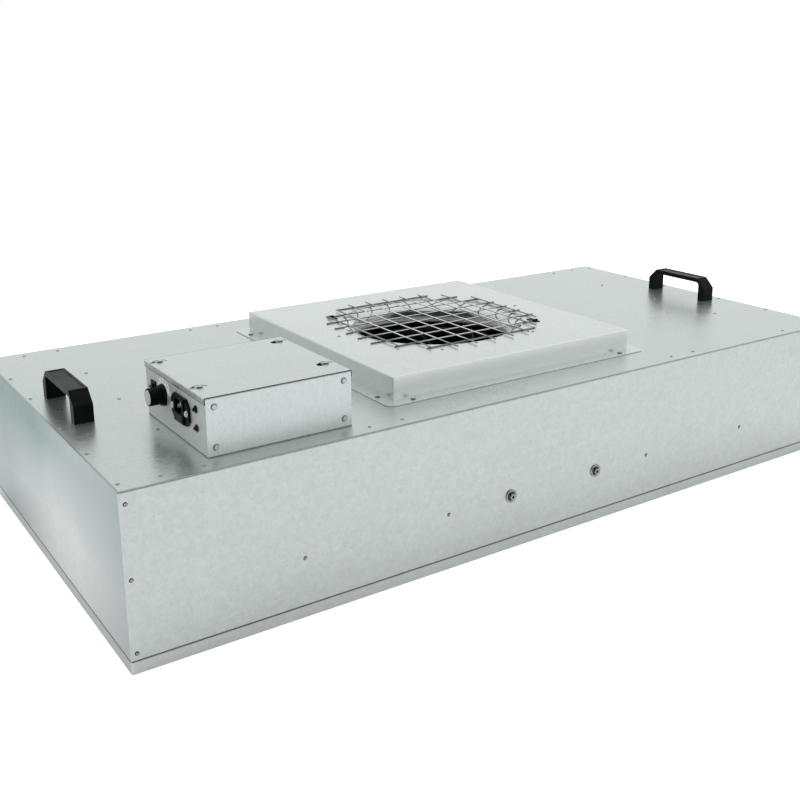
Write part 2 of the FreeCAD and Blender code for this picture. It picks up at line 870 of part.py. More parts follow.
def motor_stator():
    """Fixed part of the outer-rotor motor: foot, axle and wound core."""
    foot = rod(rotor_radius, motor_foot, at(0, 0, motor_base))
    axle = rod(axle_radius, hub_top - rotor_wall - motor_base - rotor_gap, at(0, 0, motor_base))
    collar = rod(axle_radius + rotor_gap / 2, rotor_base + rotor_wall - motor_base, at(0, 0, motor_base))
    core_top = hub_top - rotor_wall - bearing_width - 2 * rotor_gap
    core_base = rotor_base + rotor_wall + bearing_width + rotor_gap
    core = rod(stator_radius, core_top - core_base, at(0, 0, core_base))
    holes = [rod(box_screw + running_fit, motor_foot * 0.7, at(x, y, motor_base)) for x, y in motor_screw_places()]
    return less(join([foot, axle, collar, core]), holes)


def motor_bearings():
    rings = []
    for z in (rotor_base + rotor_wall, hub_top - rotor_wall - bearing_width):
        ring = rod(bearing_radius, bearing_width, at(0, 0, z))
        rings.append(ring.cut(rod(axle_radius + running_fit, bearing_width, at(0, 0, z))))
    return group(rings)


def motor_rotor():
    """Turning can: a wide skirt that carries the impeller and a hub that stands through it."""
    skirt = rod(rotor_radius, impeller_back - rotor_base, at(0, 0, rotor_base))
    hub = rod(hub_radius, hub_top - impeller_back, at(0, 0, impeller_back))
    rim = [e for e in hub.Edges if abs(e.CenterOfMass.z - hub_top) < 1e-6 and e.Closed]
    hub = hub.makeFillet(rotor_wall, rim)
    room = stator_radius + rotor_gap
    seat = bearing_radius + running_fit
    hollow = rod(room, hub_top - rotor_wall - rotor_base - rotor_wall - 2 * bearing_width,
                 at(0, 0, rotor_base + rotor_wall + bearing_width))
    seats = rod(seat, hub_top - 2 * rotor_wall - rotor_base, at(0, 0, rotor_base + rotor_wall))
    bore = rod(axle_radius + rotor_gap, rotor_wall, at(0, 0, rotor_base))
    return less(join([skirt, hub]), [hollow, seats, bore])


eye_radius = throat_radius + bell_sheet + eye_gap
eye_top = ring_top - bell_radius - bell_neck + eye_overlap


def impeller():
    """Backward-curved wheel: back plate, blades and a spun shroud with its eye."""
    back_top = impeller_back + impeller_sheet
    back = rod(impeller_radius, impeller_sheet, at(0, 0, impeller_back))
    bore = rod(hub_radius + running_fit, impeller_sheet, at(0, 0, impeller_back))
    outlet = impeller_back + impeller_outlet
    neck = eye_top - eye_overlap - bell_neck
    run = impeller_radius - eye_radius
    rim = at(impeller_radius, 0, outlet)
    middle = at(eye_radius + run * 0.30, 0, outlet + (neck - outlet) * 0.36)
    bottom = at(eye_radius, 0, neck)
    top = at(eye_radius, 0, eye_top)
    out = at(impeller_sheet, 0, 0)
    up = at(0, 0, impeller_sheet)
    shroud = revolve([
        Part.Arc(rim, middle, bottom).toShape(),
        Part.makeLine(bottom, top),
        Part.makeLine(top, top + out),
        Part.makeLine(top + out, bottom + out),
        Part.Arc(bottom + out, middle + out * 0.8 + up * 0.8, rim + up).toShape(),
        Part.makeLine(rim + up, rim),
    ])
    room = blade_room(back_top, rim, middle, bottom)
    blades = [turned(blade(back_top, neck), i * 360.0 / blade_count).common(room)
              for i in range(blade_count)]
    return join([back.cut(bore), shroud] + blades)


def blade_room(back_top, rim, middle, bottom):
    """Space between the back plate and the shroud that a blade fills."""
    return revolve([
        Part.makeLine(at(blade_inlet_radius, 0, back_top), at(impeller_radius, 0, back_top)),
        Part.makeLine(at(impeller_radius, 0, back_top), rim),
        Part.Arc(rim, middle, bottom).toShape(),
        Part.makeLine(bottom, at(blade_inlet_radius, 0, rim.z)),
        Part.makeLine(at(blade_inlet_radius, 0, rim.z), at(blade_inlet_radius, 0, back_top)),
    ])


def blade(z0, z1):
    """Upright curved sheet from the inlet circle to the rim, swept back."""
    start = at(blade_inlet_radius, 0, z0)
    sweep = math.radians(blade_sweep)
    end = at(impeller_radius * math.cos(sweep), impeller_radius * math.sin(sweep), z0)
    chord = end - start
    bulge = blade_curve - math.sqrt(blade_curve ** 2 - (chord.Length / 2) ** 2)
    across = at(chord.y, -chord.x, 0).normalize()
    middle = (start + end) * 0.5 + across * bulge
    centre = middle - across * blade_curve
    arcs = []
    for radius in (blade_curve, blade_curve - blade_sheet):
        points = [centre + (p - centre).normalize() * radius for p in (start, middle, end)]
        arcs.append(points)
    outer, inner = arcs
    wire_edges = [
        Part.Arc(outer[0], outer[1], outer[2]).toShape(), Part.makeLine(outer[2], inner[2]),
        Part.Arc(inner[2], inner[1], inner[0]).toShape(), Part.makeLine(inner[0], outer[0]),
    ]
    return Part.Face(Part.Wire(wire_edges)).extrude(at(0, 0, z1 - z0))


# Baffles and lining

def air_baffle(side):
    """Level plate that sends the air outwards, riveted to the front and rear sheets."""
    z0 = beam_centre + baffle_flange / 2
    reach = half_d - panel
    section = [
        (-reach, z0 - baffle_flange, 0), (-reach, z0, bend), (reach, z0, bend), (reach, z0 - baffle_flange, 0),
        (reach - baffle_sheet, z0 - baffle_flange, 0), (reach - baffle_sheet, z0 - baffle_sheet, 0),
        (-reach + baffle_sheet, z0 - baffle_sheet, 0), (-reach + baffle_sheet, z0 - baffle_flange, 0),
    ]
    x0 = side * baffle_start
    reach = half_l - baffle_end - baffle_start
    return prism(section, lambda y, z: at(x0, y, z), at(side * reach, 0, 0))


def end_baffle(side):
    """Upright plate hung from the top panel near one end."""
    z1 = top_under
    place = half_l - end_baffle_place
    inner = side * (place - end_baffle_flange / 2)
    outer = side * (place + end_baffle_flange / 2)
    face = inner + side * baffle_sheet
    reach = half_d - top_flange - corner_gap
    section = [
        (inner, z1, bend), (outer, z1, 0), (outer, z1 - baffle_sheet, 0), (face, z1 - baffle_sheet, 0),
        (face, z1 - end_baffle_drop, 0), (inner, z1 - end_baffle_drop, 0),
    ]
    return prism(section, lambda x, z: at(x, -reach, z), at(0, 2 * reach, 0))


def acoustic_lining():
    """Foam slabs glued under the top panel, with a hole under the control box."""
    reach = half_d - lining_margin
    slabs = [block(side * lining_start, side * (half_l - lining_end), -reach, reach, top_under - lining, top_under)
             for side in (-1, 1)]
    slabs[0] = slabs[0].cut(rod(lining_hole, lining, at(box_x, box_y, top_under - lining)))
    return group(slabs)


# Control box

def floor_screw_places():
    return [(box_x + sx * (box_length / 2 - 2 * box_flange), box_y + sy * (box_depth / 2 - 2 * box_flange))
            for sx in (-1, 1) for sy in (-1, 1)]


def lid_screw_places():
    return [(box_x + sx * lid_screw_x, box_y + sy * lid_screw_y + lid_screw_shift)
            for sx in (-1, 1) for sy in (-1, 1)]


def plate_screw_places():
    return [(box_x + sx * (box_length / 2 - plate_screw_inset), body_height + level)
            for sx in (-1, 1) for level in (plate_screw_low, plate_screw_high)]


def box_base():
    """Floor and two walls, with flanges behind the end plates and under the lid."""
    x0 = box_x - box_length / 2 + box_sheet
    x1 = box_x + box_length / 2 - box_sheet
    y0 = box_front + box_sheet
    y1 = box_front + box_depth - box_sheet
    z0 = body_height
    z1 = box_top - box_sheet
    outer = block(x0, x1, y0, y1, z0, z1)
    along = [e for e in outer.Edges if abs(e.CenterOfMass.y - box_y) < 1e-6]
    outer = outer.makeFillet(box_round, [e for e in along if abs(e.CenterOfMass.z - z1) < 1e-6])
    inner = block(x0 + box_sheet, x1 - box_sheet, y0 + box_sheet, y1 - box_sheet, z0 + box_sheet, z1 - box_sheet)
    mouth = block(x0 + box_flange, x1 - box_flange, y0, y1, z0 + box_sheet, z1)
    cuts = [inner, mouth]
    for x, y in floor_screw_places():
        cuts.append(rod(box_screw + hole_fit, box_sheet, at(x, y, z0)))
    for x, y in lid_screw_places():
        cuts.append(rod(box_screw + hole_fit, box_sheet, at(x, y, z1 - box_sheet)))
    for x, z in plate_screw_places():
        cuts.append(rod(box_screw + hole_fit, box_sheet, at(x, y0, z), Y))
        cuts.append(rod(box_screw + hole_fit, box_sheet, at(x, y1 - box_sheet, z), Y))
    cuts.append(rod(cable_hole, box_sheet, at(box_x, box_y, z0)))
    cuts += wall_openings()
    return less(outer, cuts)


def wall_openings():
    """Cut-outs in the left wall for what is mounted on it."""
    x0 = wall_face - 1
    reach = box_sheet + 2
    y, z = wall_spot(knob_place, knob_level)
    cuts = [rod(regulator_bush + hole_fit, reach, at(x0, y, z), X)]
    y, z = wall_spot(rocker_place, rocker_level)
    cuts.append(block(x0, x0 + reach, y - rocker_width / 2 + rocker_rim - hole_fit,
                      y + rocker_width / 2 - rocker_rim + hole_fit,
                      z - rocker_tall / 2 + rocker_rim - hole_fit, z + rocker_tall / 2 - rocker_rim + hole_fit))
    y, z = wall_spot(inlet_place, inlet_level)
    cuts.append(block(x0, x0 + reach, y - inlet_body_width / 2 - hole_fit, y + inlet_body_width / 2 + hole_fit,
                      z - inlet_body_tall / 2 - hole_fit, z + inlet_body_tall / 2 + hole_fit))
    for side in (-1, 1):
        cuts.append(rod(box_screw + hole_fit, reach, at(x0, y + side * inlet_screw_span / 2, z), X))
    for y, z in lamp_spots():
        cuts.append(rod(lamp_radius + hole_fit, reach, at(x0, y, z), X))
    return cuts


def wall_spot(place, level):
    return box_front + place, body_height + level


def lamp_spots():
    y, z = wall_spot(lamp_place, lamp_level)
    return [(y, z + lamp_span / 2), (y, z - lamp_span / 2)]


def box_plate(side):
    """Front or rear plate over the walls' flanges, under the lid."""
    face = box_y + side * box_depth / 2
    x0 = box_x - box_length / 2 + box_sheet
    x1 = box_x + box_length / 2 - box_sheet
    z0 = body_height
    z1 = box_top - box_sheet
    sheet = prism([(x0, z0, 0), (x0, z1, box_round), (x1, z1, box_round), (x1, z0, 0)],
                  lambda x, z: at(x, face, z), Y * (-side * box_sheet))
    cuts = [rod(box_screw + hole_fit, box_sheet, at(x, face - side * box_sheet, z), Y * side)
            for x, z in plate_screw_places()]
    return less(sheet, cuts)


def box_lid():
    """Lid with a lip down each side wall and keyholes for its screws."""
    x0 = box_x - box_length / 2
    x1 = box_x + box_length / 2
    z0 = box_top - lid_lip
    inner = lid_bend - box_sheet
    section = [
        (x0, z0, 0), (x0, box_top, lid_bend), (x1, box_top, lid_bend), (x1, z0, 0), (x1 - box_sheet, z0, 0),
        (x1 - box_sheet, box_top - box_sheet, inner), (x0 + box_sheet, box_top - box_sheet, inner),
        (x0 + box_sheet, z0, 0),
    ]
    sheet = prism(section, lambda x, z: at(x, box_front, z), at(0, box_depth, 0))
    cuts = []
    for x, y in lid_screw_places():
        z = box_top - box_sheet
        cuts.append(rod(keyhole_radius, box_sheet, at(x - keyhole_shift, y, z)))
        cuts.append(block(x - keyhole_shift, x, y - keyhole_slot, y + keyhole_slot, z, box_top))
        cuts.append(rod(keyhole_slot, box_sheet, at(x, y, z)))
    return less(sheet, cuts)


def box_screws():
    """The box's pan screws: floor into the top panel, end plates and lid into the flanges."""
    screws = [pan_screw(at(x, y, body_height + box_sheet), Z, box_sheet + panel) for x, y in floor_screw_places()]
    screws += [pan_screw(at(x, y, box_top), Z, 2 * box_sheet) for x, y in lid_screw_places()]
    for side in (-1, 1):
        face = box_y + side * box_depth / 2
        screws += [pan_screw(at(x, face, z), Y * side, 2 * box_sheet) for x, z in plate_screw_places()]
    return group(screws)


def cable_grommet():
    """Rubber bush in the hole between the box and the body."""
    outer = rod(cable_hole - running_fit, panel + box_sheet, at(box_x, box_y, top_under))
    lips = [rod(cable_hole + grommet_lip, grommet_bulge, at(box_x, box_y, body_height + box_sheet)),
            rod(cable_hole + grommet_lip, grommet_bulge, at(box_x, box_y, top_under - grommet_bulge))]
    bore_reach = panel + box_sheet + 2 * grommet_bulge
    bore = rod(cable_hole - grommet_wall, bore_reach, at(box_x, box_y, top_under - grommet_bulge))
    return join([outer] + lips).cut(bore)


# Speed control

def dial_plate():
    """Half-round scale plate behind the knob, held by the control's nut."""
    y, z = wall_spot(knob_place, knob_level)
    x0 = wall_face - dial_sheet
    disc = rod(dial_radius, dial_sheet, at(x0, y, z), X)
    below = block(x0 - 1, wall_face + 1, y - dial_radius - 1, y + dial_radius + 1,
                  z - dial_radius - 1, z + dial_drop)
    hub = rod(dial_hub, dial_sheet, at(x0, y, z), X)
    bush = rod(regulator_bush + hole_fit, dial_sheet, at(x0, y, z), X)
    return join([disc.cut(below), hub]).cut(bush)


def speed_regulator():
    """Body of the speed control behind the wall, with its threaded bush."""
    y, z = wall_spot(knob_place, knob_level)
    back = wall_face + box_sheet
    body = rod(regulator_body, regulator_depth, at(back, y, z), X)
    front = wall_face - dial_sheet - regulator_nut_thickness - 1
    bush = rod(regulator_bush, back - front, at(front, y, z), X)
    bore = rod(regulator_shaft + running_fit, back - front + regulator_depth / 2, at(front, y, z), X)
    return join([body, bush]).cut(bore)


def regulator_nut_piece():
    y, z = wall_spot(knob_place, knob_level)
    x1 = wall_face - dial_sheet
    points = [at(x1, y + regulator_nut * math.cos(math.radians(60 * i)),
                 z + regulator_nut * math.sin(math.radians(60 * i))) for i in range(6)]
    nut = Part.Face(Part.makePolygon(points + [points[0]])).extrude(X * -regulator_nut_thickness)
    return nut.cut(rod(regulator_bush + running_fit, regulator_nut_thickness, at(x1, y, z), X * -1))


knob_back = wall_face - dial_sheet - knob_gap
knob_front = knob_back - knob_length


def speed_knob():
    """Fluted knob with a skirt, bored for the shaft and hollow over the nut."""
    y, z = wall_spot(knob_place, knob_level)
    body = rod(knob_body, knob_length, at(knob_front, y, z), X)
    skirt = Part.makeCone(knob_skirt - 1, knob_skirt, knob_skirt_thickness,
                          at(knob_back - knob_skirt_thickness, y, z), X)
    flutes = []
    for i in range(knob_flutes):
        angle = math.radians(i * 360.0 / knob_flutes)
        reach = knob_body + knob_flute * 0.35
        flutes.append(rod(knob_flute, knob_length - knob_skirt_thickness - 1,
                          at(knob_front - 1, y + reach * math.cos(angle), z + reach * math.sin(angle)), X))
    hollow = rod(regulator_nut + 1, regulator_nut_thickness + 2, at(knob_back, y, z), X * -1)
    bore = rod(regulator_shaft + running_fit, shaft_reach, at(knob_back, y, z), X * -1)
    recess = rod(cap_radius + running_fit, cap_recess, at(knob_front, y, z), X)
    return less(join([body, skirt]), flutes + [hollow, bore, recess])


def knob_cap():
    y, z = wall_spot(knob_place, knob_level)
    return rod(cap_radius, cap_thickness, at(knob_front + cap_recess, y, z), X * -1)


def regulator_shaft_piece():
    y, z = wall_spot(knob_place, knob_level)
    end = wall_face + box_sheet + regulator_depth / 2 - 1
    start = knob_back - shaft_reach + 1
    return rod(regulator_shaft, end - start, at(start, y, z), X)


# Rocker switch

def rocker_frame():
    """Switch body behind the wall with its bezel in front."""
    y, z = wall_spot(rocker_place, rocker_level)
    a = rocker_width / 2
    b = rocker_tall / 2
    bezel = block(wall_face - rocker_bezel, wall_face, y - a, y + a, z - b, z + b)
    bezel = bezel.makeFillet(1.0, [e for e in bezel.Edges if e.CenterOfMass.x < wall_face - rocker_bezel + 1e-6])
    body = block(wall_face, wall_face + rocker_body_depth, y - a + rocker_rim, y + a - rocker_rim,
                 z - b + rocker_rim, z + b - rocker_rim)
    well = block(wall_face - rocker_bezel, wall_face + rocker_body_depth - rocker_rim,
                 y - a + 2 * rocker_rim, y + a - 2 * rocker_rim, z - b + 2 * rocker_rim, z + b - 2 * rocker_rim)
    pins = rod(rocker_pin + running_fit, rocker_width, at(rocker_pivot_x, y - a, z), Y)
    return less(join([bezel, body]), [well, pins])


rocker_pivot_x = wall_face + rocker_pivot


def rocker():
    """Paddle that tips about Y, shown with its upper half out."""
    y, z = wall_spot(rocker_place, rocker_level)
    a = rocker_width / 2 - 2 * rocker_rim - rocker_fit
    b = rocker_tall / 2 - 2 * rocker_rim - rocker_fit
    tip = -rocker_bezel - rocker_rise - rocker_pivot
    half = math.radians(rocker_throw / 2)
    outer = b * 0.86
    waist = b * 0.4
    corners = [(0.0, outer), (tip, outer * 0.88), (tip * 0.8, 0.0), (tip, -outer * 0.88), (0.0, -outer),
               (rocker_pivot + rocker_pin, -waist), (rocker_pivot + rocker_pin, waist)]
    points = [at(rocker_pivot_x + p * math.cos(half) - q * math.sin(half), y - a,
                 z + p * math.sin(half) + q * math.cos(half)) for p, q in corners]
    paddle = Part.Face(Part.makePolygon(points + [points[0]])).extrude(at(0, 2 * a, 0))
    reach = a + rocker_fit + rocker_pin_reach
    return join([paddle, rod(rocker_pin, 2 * reach, at(rocker_pivot_x, y - reach, z), Y)])


# Mains inlet

inlet_face = wall_face - inlet_flange - inlet_collar


def inlet_housing():
    """Mains inlet: flange, body, a raised collar round the socket and the drawer's slot."""
    y, z = wall_spot(inlet_place, inlet_level)
    a = inlet_width / 2
    b = inlet_tall / 2
    c = inlet_corner
    flange = prism([(y - a, z - b + c, 1), (y - a + c, z - b, 1), (y + a - c, z - b, 1), (y + a, z - b + c, 1),
                    (y + a, z + b - c, 1), (y + a - c, z + b, 1), (y - a + c, z + b, 1), (y - a, z + b - c, 1)],
                   lambda p, q: at(wall_face, p, q), X * -inlet_flange)
    body = block(wall_face, wall_face + inlet_body_depth, y - inlet_body_width / 2, y + inlet_body_width / 2,
                 z - inlet_body_tall / 2, z + inlet_body_tall / 2)
    collar = block(inlet_face, wall_face - inlet_flange, y - inlet_body_width / 2, y + inlet_body_width / 2,
                   z - inlet_body_tall / 2, z + inlet_body_tall / 2)
    cuts = [socket_prism(y, z + socket_rise, socket_width, socket_tall, socket_depth)]
    drawer_z = z - drawer_drop
    cuts.append(block(inlet_face, inlet_face + drawer_depth + drawer_fit,
                      y - drawer_width / 2 - drawer_fit, y + drawer_width / 2 + drawer_fit,
                      drawer_z - drawer_tall / 2 - drawer_fit, drawer_z + drawer_tall / 2 + drawer_fit))
    for side in (-1, 1):
        place = y + side * inlet_screw_span / 2
        cuts.append(rod(box_screw + hole_fit, inlet_flange, at(wall_face - inlet_flange, place, z), X))
    return less(join([flange, body, collar]), cuts)


def socket_prism(y, z, wide, tall, deep):
    """Six-sided socket opening, chamfered at its upper corners."""
    a = wide / 2
    b = tall / 2
    c = socket_corner
    return prism([(y - a, z - b, 0.8), (y + a, z - b, 0.8), (y + a, z + b - c, 0.8), (y + a - c, z + b, 0.8),
                  (y - a + c, z + b, 0.8), (y - a, z + b - c, 0.8)],
                 lambda p, q: at(inlet_face, p, q), X * deep)


def inlet_pins():
    """Three flat pins standing in the socket."""
    y, z = wall_spot(inlet_place, inlet_level)
    z += socket_rise
    floor = inlet_face + socket_depth
    pins = []
    for dy, dz in ((-pin_span / 2, -pin_step / 2), (0.0, pin_step / 2), (pin_span / 2, -pin_step / 2)):
        pins.append(block(floor - pin_reach, floor, y + dy - pin_sheet / 2, y + dy + pin_sheet / 2,
                          z + dz - pin_width / 2, z + dz + pin_width / 2))
    return group(pins)


def inlet_screws():
    y, z = wall_spot(inlet_place, inlet_level)
    return group(pan_screw(at(wall_face - inlet_flange, y + side * inlet_screw_span / 2, z), X * -1,
                           inlet_flange + box_sheet) for side in (-1, 1))


def fuse_drawer():
    """Drawer under the socket with a cradle for the fuse."""
    y, z = wall_spot(inlet_place, inlet_level)
    z -= drawer_drop
    face = inlet_face
    body = block(face, face + drawer_depth, y - drawer_width / 2, y + drawer_width / 2,
                 z - drawer_tall / 2, z + drawer_tall / 2)
    front = block(face - drawer_face, face, y - drawer_width / 2 - 1, y + drawer_width / 2 + 1,
                  z - drawer_tall / 2 - 0.6, z + drawer_tall / 2 + 0.6)
    cradle = block(face + 2, face + drawer_depth - 1.5, y - fuse_length / 2 - 0.4, y + fuse_length / 2 + 0.4,
                   z - fuse_radius - 0.1, z + drawer_tall / 2)
    return join([body, front]).cut(cradle)


def fuse():
    y, z = wall_spot(inlet_place, inlet_level)
    z -= drawer_drop
    x = inlet_face + 2 + fuse_radius + 0.1
    return rod(fuse_radius, fuse_length, at(x, y - fuse_length / 2, z), Y)


def lamp(index):
    """Indicator lamp: domed lens, flange and body."""
    y, z = lamp_spots()[index]
    flange = rod(lamp_flange, lamp_flange_thickness, at(wall_face, y, z), X * -1)
    body = rod(lamp_radius, lamp_body + lamp_flange_thickness, at(wall_face - lamp_flange_thickness, y, z), X)
    base = wall_face - lamp_flange_thickness
    dome = Part.makeCone(lamp_radius * 0.9, lamp_radius * 0.35, lamp_rise - lamp_flange_thickness,
                         at(base, y, z), X * -1)
    return join([flange, body, dome])


# Inside the control box

def capacitor():
    """Motor run capacitor lying along X."""
    x = box_x + capacitor_x
    y = box_y + capacitor_y
    z = body_height + box_sheet + clamp_sheet + running_fit + capacitor_radius
    return rod(capacitor_radius, capacitor_length, at(x - capacitor_length / 2, y, z), X)


def capacitor_clamp():
    """Strap round the capacitor with two feet on the floor."""
    x = box_x + capacitor_x
    y = box_y + capacitor_y
    z0 = body_height + box_sheet
    centre = z0 + clamp_sheet + running_fit + capacitor_radius
    ring_out = rod(capacitor_radius + clamp_sheet + running_fit, clamp_width, at(x - clamp_width / 2, y, centre), X)
    ring_in = rod(capacitor_radius + running_fit, clamp_width, at(x - clamp_width / 2, y, centre), X)
    reach = capacitor_radius + clamp_foot
    feet = block(x - clamp_width / 2, x + clamp_width / 2, y - reach, y + reach, z0, z0 + clamp_sheet)
    return join([ring_out, feet]).cut(ring_in)


def terminal_block():
    """Screw terminal strip with a wire mouth for each way."""
    x = box_x + terminal_x
    y = box_y + terminal_y
    z0 = body_height + box_sheet
    body = block(x - terminal_length / 2, x + terminal_length / 2, y - terminal_depth / 2, y + terminal_depth / 2,
                 z0, z0 + terminal_height)
    pitch = terminal_length / terminal_ways
    cuts = []
    for i in range(terminal_ways):
        place = x + (i - (terminal_ways - 1) / 2) * pitch
        cuts.append(block(place - pitch * 0.3, place + pitch * 0.3, y - terminal_depth / 2,
                          y - terminal_depth / 4, z0 + terminal_height * 0.4, z0 + terminal_height))
    return less(body, cuts)


nodes = {
    "top_panel": top_panel,
    "front_panel": lambda: long_panel(-1),
    "rear_panel": lambda: long_panel(1),
    "left_panel": lambda: side_panel(-1),
    "right_panel": lambda: side_panel(1),
    "base_frame": base_frame,
    "base_screws": base_screws,
    "filter_gasket": filter_gasket,
    "filter_frame": filter_frame,
    "face_guard": face_guard,
    "filter_media": filter_media,
    "inlet_plenum": inlet_plenum,
    "plenum_screws": plenum_screws,
    "inlet_ring": inlet_ring,
    "ring_rivets": ring_rivets,
    "wire_guard": wire_guard,
    "guard_clips": guard_clips,
    "left_handle": lambda: handle(-1),
    "right_handle": lambda: handle(1),
    "handle_screws": handle_screws,
    "top_rivets": top_rivets,
    "wall_rivets": wall_rivets,
    "motor_beams": motor_beams,
    "beam_bolts": beam_bolts,
    "beam_nuts": beam_nuts,
    "motor_plate": motor_mount_plate,
    "motor_screws": motor_screws,
    "motor_stator": motor_stator,
    "motor_bearings": motor_bearings,
    "motor_rotor": motor_rotor,
    "impeller": impeller,
    "air_baffles": lambda: group([air_baffle(-1), air_baffle(1)]),
    "end_baffles": lambda: group([end_baffle(-1), end_baffle(1)]),
    "acoustic_lining": acoustic_lining,
    "box_base": box_base,
    "box_front_plate": lambda: box_plate(-1),
    "box_rear_plate": lambda: box_plate(1),
    "box_lid": box_lid,
    "box_screws": box_screws,
    "cable_grommet": cable_grommet,
    "dial_plate": dial_plate,
    "speed_regulator": speed_regulator,
    "regulator_nut": regulator_nut_piece,
    "speed_knob": speed_knob,
    "knob_cap": knob_cap,
    "regulator_shaft": regulator_shaft_piece,
    "rocker_frame": rocker_frame,
    "rocker": rocker,
    "mains_inlet": inlet_housing,
    "inlet_pins": inlet_pins,
    "inlet_screws": inlet_screws,
    "fuse_drawer": fuse_drawer,
    "fuse": fuse,
    "power_lamp": lambda: lamp(0),
    "fault_lamp": lambda: lamp(1),
    "capacitor": capacitor,
    "capacitor_clamp": capacitor_clamp,
    "terminal_block": terminal_block,
}

os.makedirs("parts", exist_ok=True)
for name, build in nodes.items():
    build().exportStep("parts/" + name + ".step")
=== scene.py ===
import math

import bmesh
import bpy
from mathutils import Matrix, Vector


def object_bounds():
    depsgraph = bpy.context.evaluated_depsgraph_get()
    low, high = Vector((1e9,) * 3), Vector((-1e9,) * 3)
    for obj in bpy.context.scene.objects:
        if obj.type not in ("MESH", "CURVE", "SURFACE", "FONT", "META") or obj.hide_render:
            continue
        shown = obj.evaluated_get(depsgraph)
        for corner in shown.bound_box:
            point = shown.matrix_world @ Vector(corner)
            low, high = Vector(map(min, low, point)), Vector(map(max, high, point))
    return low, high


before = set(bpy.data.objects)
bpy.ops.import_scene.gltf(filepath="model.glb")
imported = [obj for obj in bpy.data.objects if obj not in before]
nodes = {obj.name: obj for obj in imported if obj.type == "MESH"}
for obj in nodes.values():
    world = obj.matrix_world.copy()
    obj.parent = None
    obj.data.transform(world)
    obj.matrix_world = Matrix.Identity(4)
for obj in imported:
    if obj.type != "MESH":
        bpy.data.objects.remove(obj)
cad_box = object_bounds()

# Sizes from the solids, in metres
half_length = cad_box[1][0]
half_depth = nodes["top_panel"].dimensions[1] / 2
top = 0.209
frame_high = 0.0153
box_x, box_y = -0.385, -0.1655
box_half_depth = 0.090
lid_low = top + 0.0618
lid_under = top + 0.0672
keyhole_x, keyhole_y, keyhole_shift = 0.080, 0.060, 0.009
keyhole_line = 0.0084
knob_y, knob_z = box_y - box_half_depth + 0.1225, top + 0.040
dial_step = math.radians(30)
dial_line = 0.0183
fuse_y = -0.1868


# Node helpers

